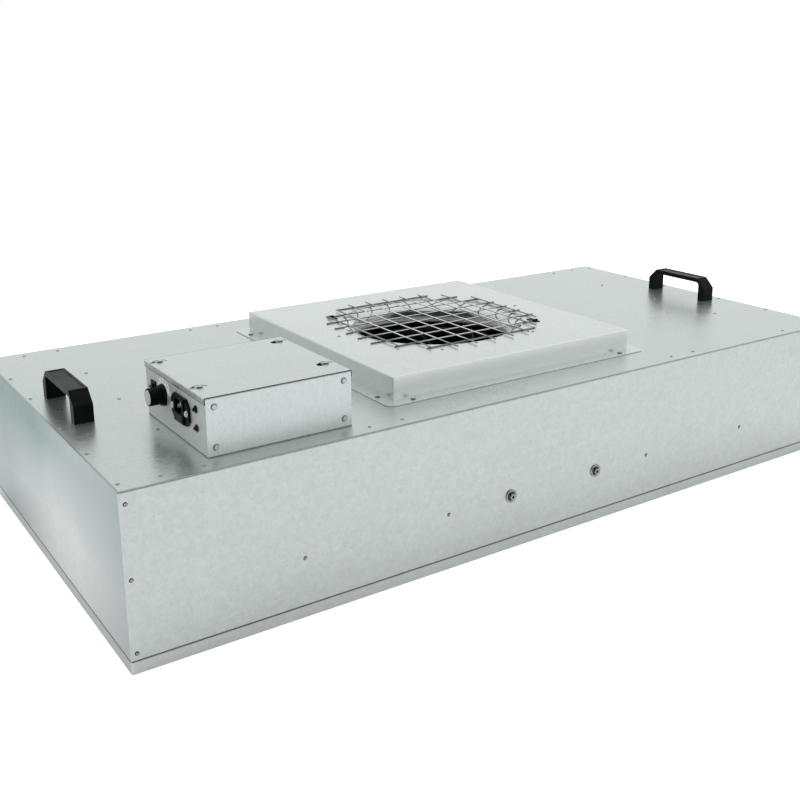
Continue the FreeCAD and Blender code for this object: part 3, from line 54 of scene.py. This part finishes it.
class Nodes:
    """A material's node tree, with short calls for the nodes used here."""

    def __init__(self, name):
        self.mat = bpy.data.materials.new(name)
        self.mat.use_nodes = True
        self.tree = self.mat.node_tree
        self.tree.nodes.clear()
        self.out = self.tree.nodes.new("ShaderNodeOutputMaterial")
        self.bsdf = self.tree.nodes.new("ShaderNodeBsdfPrincipled")
        self.link(self.bsdf.outputs[0], self.out.inputs[0])
        self.coord = self.tree.nodes.new("ShaderNodeTexCoord").outputs["Object"]

    def link(self, a, b):
        self.tree.links.new(a, b)

    def put(self, value, socket):
        if hasattr(value, "links"):
            self.link(value, socket)
        elif isinstance(value, tuple) and len(value) == 3 and len(socket.default_value) == 4:
            socket.default_value = (*value, 1.0)
        else:
            socket.default_value = value

    def set(self, **values):
        for key, value in values.items():
            self.put(value, self.bsdf.inputs[key.replace("_", " ")])
        return self

    def mapped(self, scale=(1, 1, 1), place=(0, 0, 0), turn=(0, 0, 0)):
        node = self.tree.nodes.new("ShaderNodeMapping")
        node.inputs["Scale"].default_value = scale
        node.inputs["Location"].default_value = place
        node.inputs["Rotation"].default_value = turn
        self.link(self.coord, node.inputs["Vector"])
        return node.outputs[0]

    def noise(self, scale, detail=3.0, rough=0.5, vector=None):
        node = self.tree.nodes.new("ShaderNodeTexNoise")
        node.inputs["Scale"].default_value = scale
        node.inputs["Detail"].default_value = detail
        node.inputs["Roughness"].default_value = rough
        self.link(vector or self.coord, node.inputs["Vector"])
        return node.outputs["Fac"]

    def cells(self, scale, vector):
        node = self.tree.nodes.new("ShaderNodeTexVoronoi")
        node.inputs["Scale"].default_value = scale
        self.link(vector, node.inputs["Vector"])
        return node.outputs["Color"]

    def axis(self, index, source=None):
        node = self.tree.nodes.new("ShaderNodeSeparateXYZ")
        self.link(source or self.coord, node.inputs[0])
        return node.outputs[index]

    def ramp(self, value, *stops):
        node = self.tree.nodes.new("ShaderNodeValToRGB")
        while len(node.color_ramp.elements) < len(stops):
            node.color_ramp.elements.new(0.5)
        for element, (place, colour) in zip(node.color_ramp.elements, stops):
            element.position = place
            element.color = (colour,) * 3 + (1.0,)
        self.link(value, node.inputs[0])
        return node.outputs[0]

    def math(self, kind, a, b=0.0):
        node = self.tree.nodes.new("ShaderNodeMath")
        node.operation = kind
        for value, socket in zip((a, b), node.inputs):
            self.put(value, socket)
        return node.outputs[0]

    def span(self, value, low, high, to_low=0.0, to_high=1.0):
        node = self.tree.nodes.new("ShaderNodeMapRange")
        for value_in, socket in zip((value, low, high, to_low, to_high), node.inputs):
            self.put(value_in, socket)
        return node.outputs[0]

    def mix(self, factor, a, b):
        node = self.tree.nodes.new("ShaderNodeMix")
        node.data_type = "RGBA"
        self.put(factor, node.inputs[0])
        self.put(a, node.inputs[6])
        self.put(b, node.inputs[7])
        return node.outputs[2]

    def scaled(self, colour, value):
        node = self.tree.nodes.new("ShaderNodeVectorMath")
        node.operation = "SCALE"
        self.put(colour, node.inputs[0])
        self.put(value, node.inputs["Scale"])
        return node.outputs[0]

    def flats(self):
        """1 on faces square to an axis of the part, 0 on slopes."""
        normal = self.tree.nodes.new("ShaderNodeNewGeometry").outputs["True Normal"]
        sides = [self.math("ABSOLUTE", self.axis(i, normal)) for i in range(3)]
        most = self.math("MAXIMUM", self.math("MAXIMUM", sides[0], sides[1]), sides[2])
        return self.span(most, 0.90, 0.96)

    def away(self, a, b):
        """Distance from the point where both values are 0."""
        return self.math("SQRT", self.math("ADD", self.math("MULTIPLY", a, a), self.math("MULTIPLY", b, b)))

    def facing_front(self):
        """1 on faces that look towards the front, 0 on the others."""
        normal = self.tree.nodes.new("ShaderNodeNewGeometry").outputs["True Normal"]
        return self.span(self.axis(1, normal), -0.6, -0.4, 1.0, 0.0)

    def bump(self, height, strength, distance):
        node = self.tree.nodes.new("ShaderNodeBump")
        node.inputs["Strength"].default_value = strength
        node.inputs["Distance"].default_value = distance
        self.put(height, node.inputs["Height"])
        self.link(node.outputs[0], self.bsdf.inputs["Normal"])


def srgb(r, g, b):
    def linear(v):
        v /= 255.0
        return v / 12.92 if v <= 0.04045 else ((v + 0.055) / 1.055) ** 2.4
    return (linear(r), linear(g), linear(b))


def galvanised(name, colour, rough=0.30, spangle=1.0, grain=(1, 1, 1), streak=(3, 160, 160), shade=None,
               cell=150.0, metallic=1.0, ripple=0.10):
    """Zinc-coated sheet: small crystals, soft cloudiness, rolling streaks and a few specks."""
    n = Nodes(name)
    wobble = n.mapped(grain)
    crystal = n.axis(0, n.cells(cell, wobble))
    fine = n.axis(1, n.cells(cell * 2.6, wobble))
    cloud = n.noise(3.5, 4.0, 0.55)
    patch = n.noise(17.0, 3.0, 0.6)
    rolled = n.noise(1.0, 3.0, 0.6, vector=n.mapped(streak))
    value = n.math("ADD", n.math("MULTIPLY", n.math("SUBTRACT", crystal, 0.5), 0.075 * spangle),
                   n.math("MULTIPLY", n.math("SUBTRACT", fine, 0.5), 0.05 * spangle))
    value = n.math("ADD", value, n.math("MULTIPLY", n.math("SUBTRACT", cloud, 0.5), 0.10))
    value = n.math("ADD", value, n.math("MULTIPLY", n.math("SUBTRACT", patch, 0.5), 0.05))
    value = n.math("ADD", value, n.math("MULTIPLY", n.math("SUBTRACT", rolled, 0.5), 0.05))
    value = n.math("ADD", value, 1.0)
    base = n.scaled(colour, value)
    dark_specks = n.ramp(n.noise(260.0, 1.0, 0.4), (0.72, 0.0), (0.76, 1.0))
    elsewhere = n.mapped(place=(3.1, 1.7, 0.4))
    light_specks = n.ramp(n.noise(310.0, 1.0, 0.4, vector=elsewhere), (0.73, 0.0), (0.77, 1.0))
    base = n.mix(n.math("MULTIPLY", dark_specks, 0.20), base, tuple(c * 0.45 for c in colour))
    base = n.mix(n.math("MULTIPLY", light_specks, 0.5), base, (0.86, 0.88, 0.87))
    if shade:
        base = shade(n, base)
    roughness = n.math("ADD", n.math("MULTIPLY", crystal, 0.07 * spangle), rough)
    roughness = n.math("ADD", roughness, n.math("MULTIPLY", n.math("SUBTRACT", cloud, 0.5), 0.12))
    n.set(Base_Color=base, Metallic=metallic, Roughness=roughness)
    height = n.math("ADD", n.math("MULTIPLY", crystal, 0.4), n.math("MULTIPLY", patch, 1.0))
    height = n.math("ADD", height, n.math("MULTIPLY", rolled, 0.25))
    n.bump(height, ripple * spangle, 0.0006)
    return n.mat


def scratches(n, base, amount=0.25):
    """A few thin bright lines across a sheet."""
    lines = n.noise(1.0, 2.0, 0.5, vector=n.mapped((5, 330, 5), turn=(0.0, 0.0, 0.5)))
    more = n.noise(1.0, 2.0, 0.5, vector=n.mapped((290, 4, 4), turn=(0.0, 0.0, 0.22)))
    lines = n.ramp(lines, (0.70, 0.0), (0.725, 1.0))
    more = n.ramp(more, (0.71, 0.0), (0.735, 1.0))
    patches = n.noise(2.2, 2.0, 0.5, vector=n.mapped(place=(5.0, 2.0, 1.0)))
    where = n.ramp(patches, (0.50, 0.0), (0.62, 1.0))
    thin = n.math("MULTIPLY", n.math("MAXIMUM", lines, more), where)
    return n.mix(n.math("MULTIPLY", thin, amount), base, (0.92, 0.94, 0.93))


def line(n, value, place, half, soft):
    """1 along a thin line where the value is near a place."""
    off = n.math("ABSOLUTE", n.math("SUBTRACT", value, place))
    return n.span(off, half, half + soft, 1.0, 0.0)


def inked(n, base, mask, amount, colour=(0.05, 0.06, 0.06)):
    return n.mix(n.math("MULTIPLY", mask, amount), base, colour)


def top_shade(n, base):
    """Scratches, and painted shade: dark seams where the sheet's front and left edges meet the walls."""
    base = scratches(n, base, 0.22)
    # Painted shade along the front and left edges.
    front = line(n, n.axis(1), -half_depth, 0.0011, 0.0006)
    left = line(n, n.axis(0), -half_length, 0.0014, 0.0008)
    return inked(n, base, n.math("MAXIMUM", front, left), 0.45)


def plenum_shade(n, base):
    """Scratches, painted light that lightens the front wall, and the shadow under the foot's cut edge."""
    base = scratches(n, base, 0.22)
    # Painted light: faces looking to the front are lightened towards pale zinc.
    base = n.mix(n.math("MULTIPLY", n.facing_front(), 0.8), base, (0.95, 0.98, 0.97))
    return inked(n, base, n.span(n.axis(2), top, top + 0.0010, 1.0, 0.0), 0.75)


def ring_shade(n, base):
    """Painted shade: the spun ring's colour goes darker and browner down in its throat."""
    deep = n.span(n.axis(2), top + 0.0255, top + 0.0130, 0.0, 0.72)
    return n.mix(deep, base, (0.15, 0.135, 0.13))


def wall_shade(n, base):
    """Scratches, and a painted shadow line over the base frame."""
    base = scratches(n, base, 0.16)
    # Painted shadow: a dark line just above the base frame.
    return inked(n, base, n.span(n.axis(2), frame_high, frame_high + 0.0015, 1.0, 0.0), 0.7)


def frame_shade(n, base):
    # Painted shade: the frame's top edge is darkened where the walls meet it.
    return inked(n, base, n.span(n.axis(2), frame_high - 0.0021, frame_high - 0.0005), 0.55)


def left_shade(n, base):
    """Painted shade: the left end's sheet is darker and bluer towards its upper rear corner and greyer at
    both ends, standing in for darker surroundings it reflects; a painted shadow line runs over the base
    frame.
    """
    base = scratches(n, base, 0.12)
    drift = n.math("MULTIPLY", n.math("SUBTRACT", n.noise(3.0, 2.0), 0.5), 0.06)
    high = n.span(n.math("ADD", n.axis(2), drift), 0.085, 0.185)
    # Painted shade, darker and bluer towards the upper rear corner.
    painted_teal_shade = n.math("MULTIPLY", high, n.span(n.axis(1), -0.26, 0.03, 0.36, 0.92))
    ends = n.span(n.math("ABSOLUTE", n.math("ADD", n.axis(1), 0.07)), 0.04, 0.26, 0.0, 0.70)
    # Painted shade, greyer towards both ends.
    base = n.mix(ends, base, (0.32, 0.36, 0.36))
    base = n.mix(painted_teal_shade, base, (0.20, 0.31, 0.31))
    return inked(n, base, n.span(n.axis(2), frame_high, frame_high + 0.0015, 1.0, 0.0), 0.7)


def box_shade(n, base):
    """Painted shade: a dark line where the box's side meets the top panel."""
    return inked(n, base, n.span(n.axis(2), top + 0.0006, top + 0.0014, 1.0, 0.0), 0.85)


def keyhole_shadow_arcs(n):
    """Painted shadow: a thin dark arc on the far half of the round end of each keyhole, where its far rim
    casts shade.
    """
    across = n.math("SUBTRACT", n.math("ABSOLUTE", n.math("SUBTRACT", n.axis(0), box_x)), keyhole_x)
    arcs = 0.0
    for side in (-1, 1):
        along = n.math("SUBTRACT", n.axis(1), box_y + side * keyhole_y + keyhole_shift)
        away = n.away(across, along)
        far_half = n.span(along, -0.0010, 0.0020)
        arc = n.math("MULTIPLY", line(n, away, keyhole_line, 0.0010, 0.0004), far_half)
        arcs = n.math("MAXIMUM", arcs, arc)
    return arcs


def lid_shade(n, base):
    """Painted shade: dark lines in the seams at the front and back cut edges and under the lip's lower
    edge, and the painted keyhole shadow arcs.
    """
    base = scratches(n, base, 0.14)
    ends = n.math("ABSOLUTE", n.math("SUBTRACT", n.axis(1), box_y))
    # Painted shade in the seams at the front and back cut edges.
    cut = n.span(ends, box_half_depth - 0.0010, box_half_depth - 0.0003)
    # Painted shade along the lip's lower edge.
    lip = n.span(n.axis(2), lid_low, lid_low + 0.0007, 1.0, 0.0)
    base = inked(n, base, lip, 0.6)
    return inked(n, base, n.math("MAXIMUM", cut, keyhole_shadow_arcs(n)), 0.92, (0.02, 0.028, 0.026))


def front_shade(n, base):
    """The box's front plate: its front face painted lighter (painted light) with a brushed mottle, a shadow
    under the lid, a darker one at its foot, and white specks.
    """
    specks = n.ramp(n.noise(520.0, 1.0, 0.4), (0.66, 0.0), (0.72, 1.0))
    brushed_and_painted_light = n.span(n.noise(1.0, 2.0, 0.6, vector=n.mapped((500, 500, 150))), 0.3, 0.7, 0.30, 0.52)
    # Painted light: the front face is lightened, unevenly, towards pale zinc.
    base = n.mix(n.math("MULTIPLY", n.facing_front(), brushed_and_painted_light), base, (0.95, 0.98, 0.97))
    base = n.mix(n.math("MULTIPLY", specks, 0.55), base, (0.9, 0.92, 0.92))
    upper = n.span(n.axis(2), lid_under - 0.0008, lid_under)
    lower = n.span(n.axis(2), top + 0.0004, top + 0.0018, 1.0, 0.0)
    base = inked(n, base, upper, 0.55)
    return inked(n, base, lower, 0.8)


zinc = srgb(206, 213, 210)


def plastic(name, colour, rough, grain=900.0, depth=0.00012, strength=0.35, shine=0.5, shade=None):
    n = Nodes(name)
    mottle = n.noise(60.0, 3.0, 0.6)
    dusty = n.noise(9.0, 3.0, 0.6)
    light = tuple(min(1.0, c * 1.4 + 0.002) for c in colour)
    base = n.mix(n.span(mottle, 0.35, 0.65), colour, light)
    if shade:
        base = shade(n, base)
    n.set(Base_Color=base, Roughness=n.span(dusty, 0.3, 0.7, rough - 0.07, rough + 0.08))
    n.bsdf.inputs["Specular IOR Level"].default_value = shine
    n.bump(n.noise(grain, 2.0, 0.6), strength, depth)
    return n.mat


def metal(name, colour, rough, lines=None, spot=0.04, bump=0.08, painted_slope_shade=None, metallic=1.0, shade=None):
    n = Nodes(name)
    cloud = n.noise(30.0, 3.0, 0.6)
    fine = n.noise(1.0, 2.0, 0.6, vector=n.mapped(lines or (400, 400, 400)))
    tone = n.math("ADD", n.math("MULTIPLY", n.math("SUBTRACT", cloud, 0.5), spot * 3),
                  n.math("MULTIPLY", n.math("SUBTRACT", fine, 0.5), spot * 2))
    base = n.scaled(colour, n.math("ADD", tone, 1.0))
    if painted_slope_shade is not None:
        # Painted shade: slopes, such as the sides of screw and rivet heads, are darkened.
        base = n.mix(n.flats(), tuple(c * painted_slope_shade for c in colour), base)
    if shade:
        base = shade(n, base)
    n.set(Base_Color=base, Metallic=metallic,
          Roughness=n.math("ADD", rough, n.math("MULTIPLY", n.math("SUBTRACT", fine, 0.5), 0.16)))
    n.bump(fine, bump, 0.0002)
    return n.mat


def fan_shade(n, base):
    """Painted light: the fan is painted lighter high up, near its inlet ring under the bell mouth."""
    return n.mix(n.span(n.axis(2), 0.186, 0.200, 0.0, 0.8), base, (0.10, 0.09, 0.085))


def wire_shade(n, base):
    """Painted shade: the wires' ends, past the bell mouth, are painted darker than the middle of the mesh.
    """
    away = n.away(n.axis(0), n.axis(1))
    return n.mix(n.span(away, 0.112, 0.132, 0.0, 0.72), base, (0.08, 0.085, 0.085))


def dial_shade(n, base):
    """Plain ticks round the knob."""
    y = n.math("SUBTRACT", n.axis(1), knob_y)
    z = n.math("SUBTRACT", n.axis(2), knob_z)
    away = n.away(y, z)
    turn = n.math("FRACT", n.math("DIVIDE", n.math("ADD", n.math("ARCTAN2", z, y), 2 * math.pi), dial_step))
    ticks = line(n, turn, 0.5, 0.09, 0.03)
    ring = line(n, away, dial_line, 0.0011, 0.0002)
    return inked(n, base, n.math("MULTIPLY", ticks, ring), 0.9, (0.01, 0.01, 0.01))


# Materials

looks = {
    "top": galvanised("galvanised_top", zinc, 0.27, 0.45, shade=top_shade, metallic=0.9, ripple=0.03),
    "wall": galvanised("galvanised_wall", srgb(212, 217, 215), 0.30, 1.0, streak=(2, 2, 240),
                       shade=wall_shade, metallic=0.9),
    # Painted light: the left end's sheet is a lighter zinc, with less metal, than the other walls.
    "left": galvanised("galvanised_left", srgb(240, 243, 241), 0.30, 0.8, streak=(2, 2, 240),
                       shade=left_shade, metallic=0.75),
    "frame": galvanised("galvanised_frame", srgb(214, 219, 217), 0.30, 0.8, shade=frame_shade),
    "plenum": galvanised("galvanised_plenum", srgb(212, 217, 215), 0.22, 0.7, shade=plenum_shade,
                         metallic=0.65),
    "ring": galvanised("galvanised_ring", srgb(214, 219, 217), 0.10, 0.1, shade=ring_shade),
    "box": galvanised("galvanised_box", srgb(208, 214, 212), 0.38, 0.6, shade=box_shade, metallic=0.6),
    "lid": galvanised("galvanised_lid", srgb(206, 212, 210), 0.26, 0.4, shade=lid_shade, metallic=0.8,
                      ripple=0.05),
    "box_front": galvanised("galvanised_box_front", srgb(206, 213, 211), 0.36, 1.5, grain=(1.0, 1.0, 0.35),
                            streak=(420, 420, 16), cell=420.0, shade=front_shade, metallic=0.5),
    "inner": galvanised("galvanised_inner", srgb(196, 202, 200), 0.36, 0.8),
    "wire": metal("guard_wire", srgb(224, 227, 226), 0.16, shade=wire_shade),
    "fixing": metal("zinc_fixing", srgb(176, 182, 180), 0.26, painted_slope_shade=0.16),
    "screw": metal("zinc_screw", srgb(200, 205, 203), 0.28, painted_slope_shade=0.45, metallic=0.8),
    "bright": metal("bright_screw", srgb(236, 237, 235), 0.28, painted_slope_shade=0.7, metallic=0.5),
    "bolt": metal("zinc_bolt", srgb(160, 166, 164), 0.24, painted_slope_shade=0.20),
    "dark_metal": metal("motor_casting", srgb(120, 124, 126), 0.42, spot=0.06),
    "steel": metal("ground_steel", srgb(190, 190, 192), 0.22),
    "silver": metal("turned_cap", srgb(230, 232, 232), 0.36, lines=(2, 700, 2), metallic=0.55),
    "alloy": metal("filter_alloy", srgb(206, 208, 208), 0.36, lines=(2, 300, 300)),
    "handle": plastic("handle_plastic", srgb(6, 6, 7), 0.32, 700.0, 0.0001, shine=0.09),
    "knob": plastic("knob_plastic", srgb(6, 6, 7), 0.36, 900.0, shine=0.10),
    "inlet": plastic("inlet_plastic", srgb(5, 5, 6), 0.34, 900.0, shine=0.10),
    "drawer": plastic("drawer_plastic", srgb(46, 47, 48), 0.38, 900.0, shine=0.12),
    "clip": plastic("clip_plastic", srgb(7, 7, 8), 0.45, shine=0.15),
    "fan": plastic("fan_paint", srgb(12, 12, 13), 0.42, 500.0, shine=0.2, shade=fan_shade),
    "rubber": plastic("grommet_rubber", srgb(20, 20, 20), 0.6),
    "terminal": plastic("terminal_plastic", srgb(205, 205, 198), 0.42),
    "gasket": plastic("gasket_foam", srgb(196, 190, 172), 0.9, 1500.0, 0.0006, strength=0.8),
    "lining": plastic("lining_foam", srgb(46, 47, 50), 0.95, 700.0, 0.0012, strength=1.0),
    "white": plastic("guard_paint", srgb(226, 227, 225), 0.40, 1200.0),
    "dial": plastic("dial_paint", srgb(232, 234, 233), 0.42, 1200.0, shade=dial_shade),
}


def paper():
    n = Nodes("filter_paper")
    fibre = n.noise(900.0, 4.0, 0.7)
    cloud = n.noise(25.0, 3.0, 0.6)
    tone = n.mix(n.span(cloud, 0.3, 0.7), srgb(232, 231, 222), srgb(244, 243, 238))
    n.set(Base_Color=tone, Roughness=n.span(fibre, 0.3, 0.7, 0.82, 0.95))
    n.bump(fibre, 0.5, 0.0004)
    return n.mat


def lens(name, colour, deep, coat):
    n = Nodes(name)
    swirl = n.noise(220.0, 2.0, 0.5)
    n.set(Base_Color=n.mix(n.span(swirl, 0.35, 0.65), deep, colour),
          Roughness=n.span(swirl, 0.3, 0.7, 0.12, 0.2))
    n.bsdf.inputs["Coat Weight"].default_value = coat
    n.bsdf.inputs["Specular IOR Level"].default_value = coat
    n.bsdf.inputs["Coat Roughness"].default_value = 0.06
    n.bump(n.noise(400.0, 1.0), 0.1, 0.0001)
    return n.mat


def glass_tube():
    n = Nodes("fuse_glass")
    ends = n.math("ABSOLUTE", n.math("SUBTRACT", n.axis(1), fuse_y))
    cap = n.ramp(n.span(ends, 0.0, 0.0075), (0.60, 0.0), (0.64, 1.0))
    n.set(Base_Color=n.mix(cap, (0.86, 0.88, 0.88), srgb(190, 190, 186)), Metallic=cap,
          Roughness=n.span(n.noise(300.0), 0.3, 0.7, 0.08, 0.16))
    return n.mat


looks["paper"] = paper()
looks["green"] = lens("lamp_green", srgb(8, 13, 11), srgb(4, 7, 6), 0.10)
looks["red"] = lens("lamp_red", srgb(66, 8, 14), srgb(24, 4, 7), 0.20)
looks["glass"] = glass_tube()

wear = {
    "top": ["top_panel"],
    "wall": ["front_panel", "rear_panel", "right_panel"],
    "left": ["left_panel"],
    "frame": ["base_frame"],
    "plenum": ["inlet_plenum"],
    "ring": ["inlet_ring"],
    "box": ["box_base", "box_rear_plate", "capacitor_clamp"],
    "lid": ["box_lid"],
    "box_front": ["box_front_plate"],
    "inner": ["motor_beams", "motor_plate", "air_baffles", "end_baffles"],
    "wire": ["wire_guard"],
    "fixing": ["base_screws", "handle_screws", "wall_rivets", "motor_screws", "regulator_nut"],
    "screw": ["plenum_screws", "ring_rivets", "top_rivets", "box_screws"],
    "bolt": ["beam_bolts", "beam_nuts"],
    "dark_metal": ["motor_stator", "capacitor"],
    "steel": ["motor_bearings", "regulator_shaft"],
    "silver": ["knob_cap"],
    "alloy": ["filter_frame"],
    "bright": ["inlet_pins", "inlet_screws"],
    "handle": ["left_handle", "right_handle"],
    "knob": ["speed_knob", "rocker", "rocker_frame", "speed_regulator"],
    "inlet": ["mains_inlet"],
    "drawer": ["fuse_drawer"],
    "terminal": ["terminal_block"],
    "clip": ["guard_clips"],
    "fan": ["impeller", "motor_rotor"],
    "rubber": ["cable_grommet"],
    "gasket": ["filter_gasket"],
    "lining": ["acoustic_lining"],
    "white": ["face_guard"],
    "dial": ["dial_plate"],
    "paper": ["filter_media"],
    "green": ["power_lamp"],
    "red": ["fault_lamp"],
    "glass": ["fuse"],
}
for look, names in wear.items():
    for name in names:
        mesh = nodes[name].data
        mesh.materials.clear()
        mesh.materials.append(looks[look])


# Camera, at the photograph's place and angle

def camera():
    data = bpy.data.cameras.new("camera")
    cam = bpy.data.objects.new("camera", data)
    bpy.context.scene.collection.objects.link(cam)
    place = Vector((-0.8859336, -1.2664087, 0.6370899))
    yaw, pitch, roll = (math.radians(v) for v in (34.591, -14.6435, -0.1455))
    picture, focal = 800, 1045.74
    centre_x, centre_y = 425, 325
    ahead = Vector((math.sin(yaw) * math.cos(pitch), math.cos(yaw) * math.cos(pitch), math.sin(pitch)))
    side = ahead.cross(Vector((0, 0, 1))).normalized()
    up = side.cross(ahead)
    right = side * math.cos(roll) + up * math.sin(roll)
    upward = up * math.cos(roll) - side * math.sin(roll)
    turn = Matrix((right, upward, -ahead)).transposed()
    cam.matrix_world = Matrix.Translation(place) @ turn.to_4x4()
    data.sensor_width = 36.0
    data.lens = focal / picture * data.sensor_width
    data.shift_x = (picture / 2 - centre_x) / picture
    data.shift_y = (centre_y - picture / 2) / picture
    data.clip_start = 0.02
    bpy.context.scene.camera = cam


camera()


# Floor, lights and surroundings

def floor():
    bm = bmesh.new()
    bmesh.ops.create_grid(bm, x_segments=1, y_segments=1, size=14.0)
    mesh = bpy.data.meshes.new("floor")
    bm.to_mesh(mesh)
    bm.free()
    obj = bpy.data.objects.new("floor", mesh)
    bpy.context.scene.collection.objects.link(obj)
    n = Nodes("floor_paint")
    soft = n.noise(2.0, 2.0)
    n.set(Base_Color=n.mix(soft, (0.90, 0.90, 0.90), (0.92, 0.92, 0.92)), Roughness=0.7)
    path = n.tree.nodes.new("ShaderNodeLightPath")
    glow = n.tree.nodes.new("ShaderNodeEmission")
    seen = n.math("MAXIMUM", path.outputs["Is Camera Ray"], path.outputs["Is Transmission Ray"])
    n.link(n.math("MULTIPLY", seen, 0.62), glow.inputs["Strength"])
    both = n.tree.nodes.new("ShaderNodeAddShader")
    n.link(n.bsdf.outputs[0], both.inputs[0])
    n.link(glow.outputs[0], both.inputs[1])
    n.link(both.outputs[0], n.out.inputs[0])
    mesh.materials.append(n.mat)


floor()


def lamp(name, place, aim, size, power, colour=(1, 1, 1)):
    data = bpy.data.lights.new(name, "AREA")
    data.shape = "RECTANGLE"
    data.size, data.size_y = size
    data.energy = power
    data.color = colour
    obj = bpy.data.objects.new(name, data)
    bpy.context.scene.collection.objects.link(obj)
    obj.location = place
    obj.rotation_euler = (Vector(aim) - Vector(place)).to_track_quat("-Z", "Y").to_euler()
    obj.visible_glossy = False


lamp("key", (1.4, -2.2, 2.6), (0.1, 0, 0.1), (2.4, 1.6), 26)
lamp("over", (0.0, 0.6, 3.0), (0, 0, 0.1), (3.0, 2.4), 34)
lamp("left", (-2.8, 0.4, 1.4), (-0.3, 0, 0.15), (1.6, 1.2), 8, (0.93, 0.98, 1.0))


def surroundings():
    """White backdrop; what shines in metal is bright behind and above, dark on the open side."""
    world = bpy.data.worlds.new("studio")
    bpy.context.scene.world = world
    world.use_nodes = True
    tree = world.node_tree
    tree.nodes.clear()

    def math_node(kind, a, b=0.0):
        node = tree.nodes.new("ShaderNodeMath")
        node.operation = kind
        for value, socket in zip((a, b), node.inputs):
            if hasattr(value, "links"):
                tree.links.new(value, socket)
            else:
                socket.default_value = value
        return node.outputs[0]

    def fade(value, *stops):
        node = tree.nodes.new("ShaderNodeValToRGB")
        while len(node.color_ramp.elements) < len(stops):
            node.color_ramp.elements.new(0.5)
        for element, (place, tone) in zip(node.color_ramp.elements, stops):
            element.position = place
            element.color = (*tone, 1.0)
        tree.links.new(value, node.inputs[0])
        return node.outputs[0]

    split = tree.nodes.new("ShaderNodeSeparateXYZ")
    tree.links.new(tree.nodes.new("ShaderNodeTexCoord").outputs["Generated"], split.inputs[0])
    x, y, z = split.outputs
    flat = math_node("SUBTRACT", 1.0, math_node("MULTIPLY", z, z))
    level = math_node("SQRT", math_node("MAXIMUM", flat, 0.0001))
    behind = math_node("ADD", math_node("MULTIPLY", x, 0.563), math_node("MULTIPLY", y, 0.826))
    open_side = tree.nodes.new("ShaderNodeMapRange")
    open_side.interpolation_type = "SMOOTHSTEP"
    tree.links.new(math_node("DIVIDE", behind, level), open_side.inputs["Value"])
    open_side.inputs["From Min"].default_value = 0.20
    open_side.inputs["From Max"].default_value = -0.30
    back = fade(z, (0.0, (0.98, 1.0, 1.0)), (0.21, (0.98, 1.0, 1.0)), (0.36, (0.72, 0.74, 0.74)),
                (0.6, (0.9, 0.92, 0.92)), (1.0, (1.0, 1.0, 1.0)))
    fore = fade(z, (0.0, (0.80, 0.80, 0.80)), (0.30, (0.76, 0.76, 0.75)), (0.46, (0.42, 0.41, 0.40)),
                (0.56, (0.05, 0.055, 0.055)), (0.84, (0.05, 0.055, 0.055)), (0.91, (1.0, 1.0, 1.0)),
                (1.0, (1.0, 1.0, 1.0)))
    mirror = tree.nodes.new("ShaderNodeMix")
    mirror.data_type = "RGBA"
    tree.links.new(open_side.outputs[0], mirror.inputs[0])
    tree.links.new(back, mirror.inputs[6])
    tree.links.new(fore, mirror.inputs[7])

    path = tree.nodes.new("ShaderNodeLightPath")
    lights = []
    for colour, strength in (((0.97, 0.99, 1.0, 1), 0.62), (mirror.outputs[2], 1.0), ((1, 1, 1, 1), 1.0)):
        light = tree.nodes.new("ShaderNodeBackground")
        if hasattr(colour, "links"):
            tree.links.new(colour, light.inputs["Color"])
        else:
            light.inputs["Color"].default_value = colour
        light.inputs["Strength"].default_value = strength
        lights.append(light.outputs[0])
    clear = math_node("MAXIMUM", path.outputs["Is Camera Ray"], path.outputs["Is Transmission Ray"])
    result = lights[0]
    for factor, light in ((path.outputs["Is Glossy Ray"], lights[1]), (clear, lights[2])):
        blend = tree.nodes.new("ShaderNodeMixShader")
        tree.links.new(factor, blend.inputs[0])
        tree.links.new(result, blend.inputs[1])
        tree.links.new(light, blend.inputs[2])
        result = blend.outputs[0]
    out = tree.nodes.new("ShaderNodeOutputWorld")
    tree.links.new(result, out.inputs[0])


surroundings()
bpy.context.scene.view_settings.view_transform = "Standard"
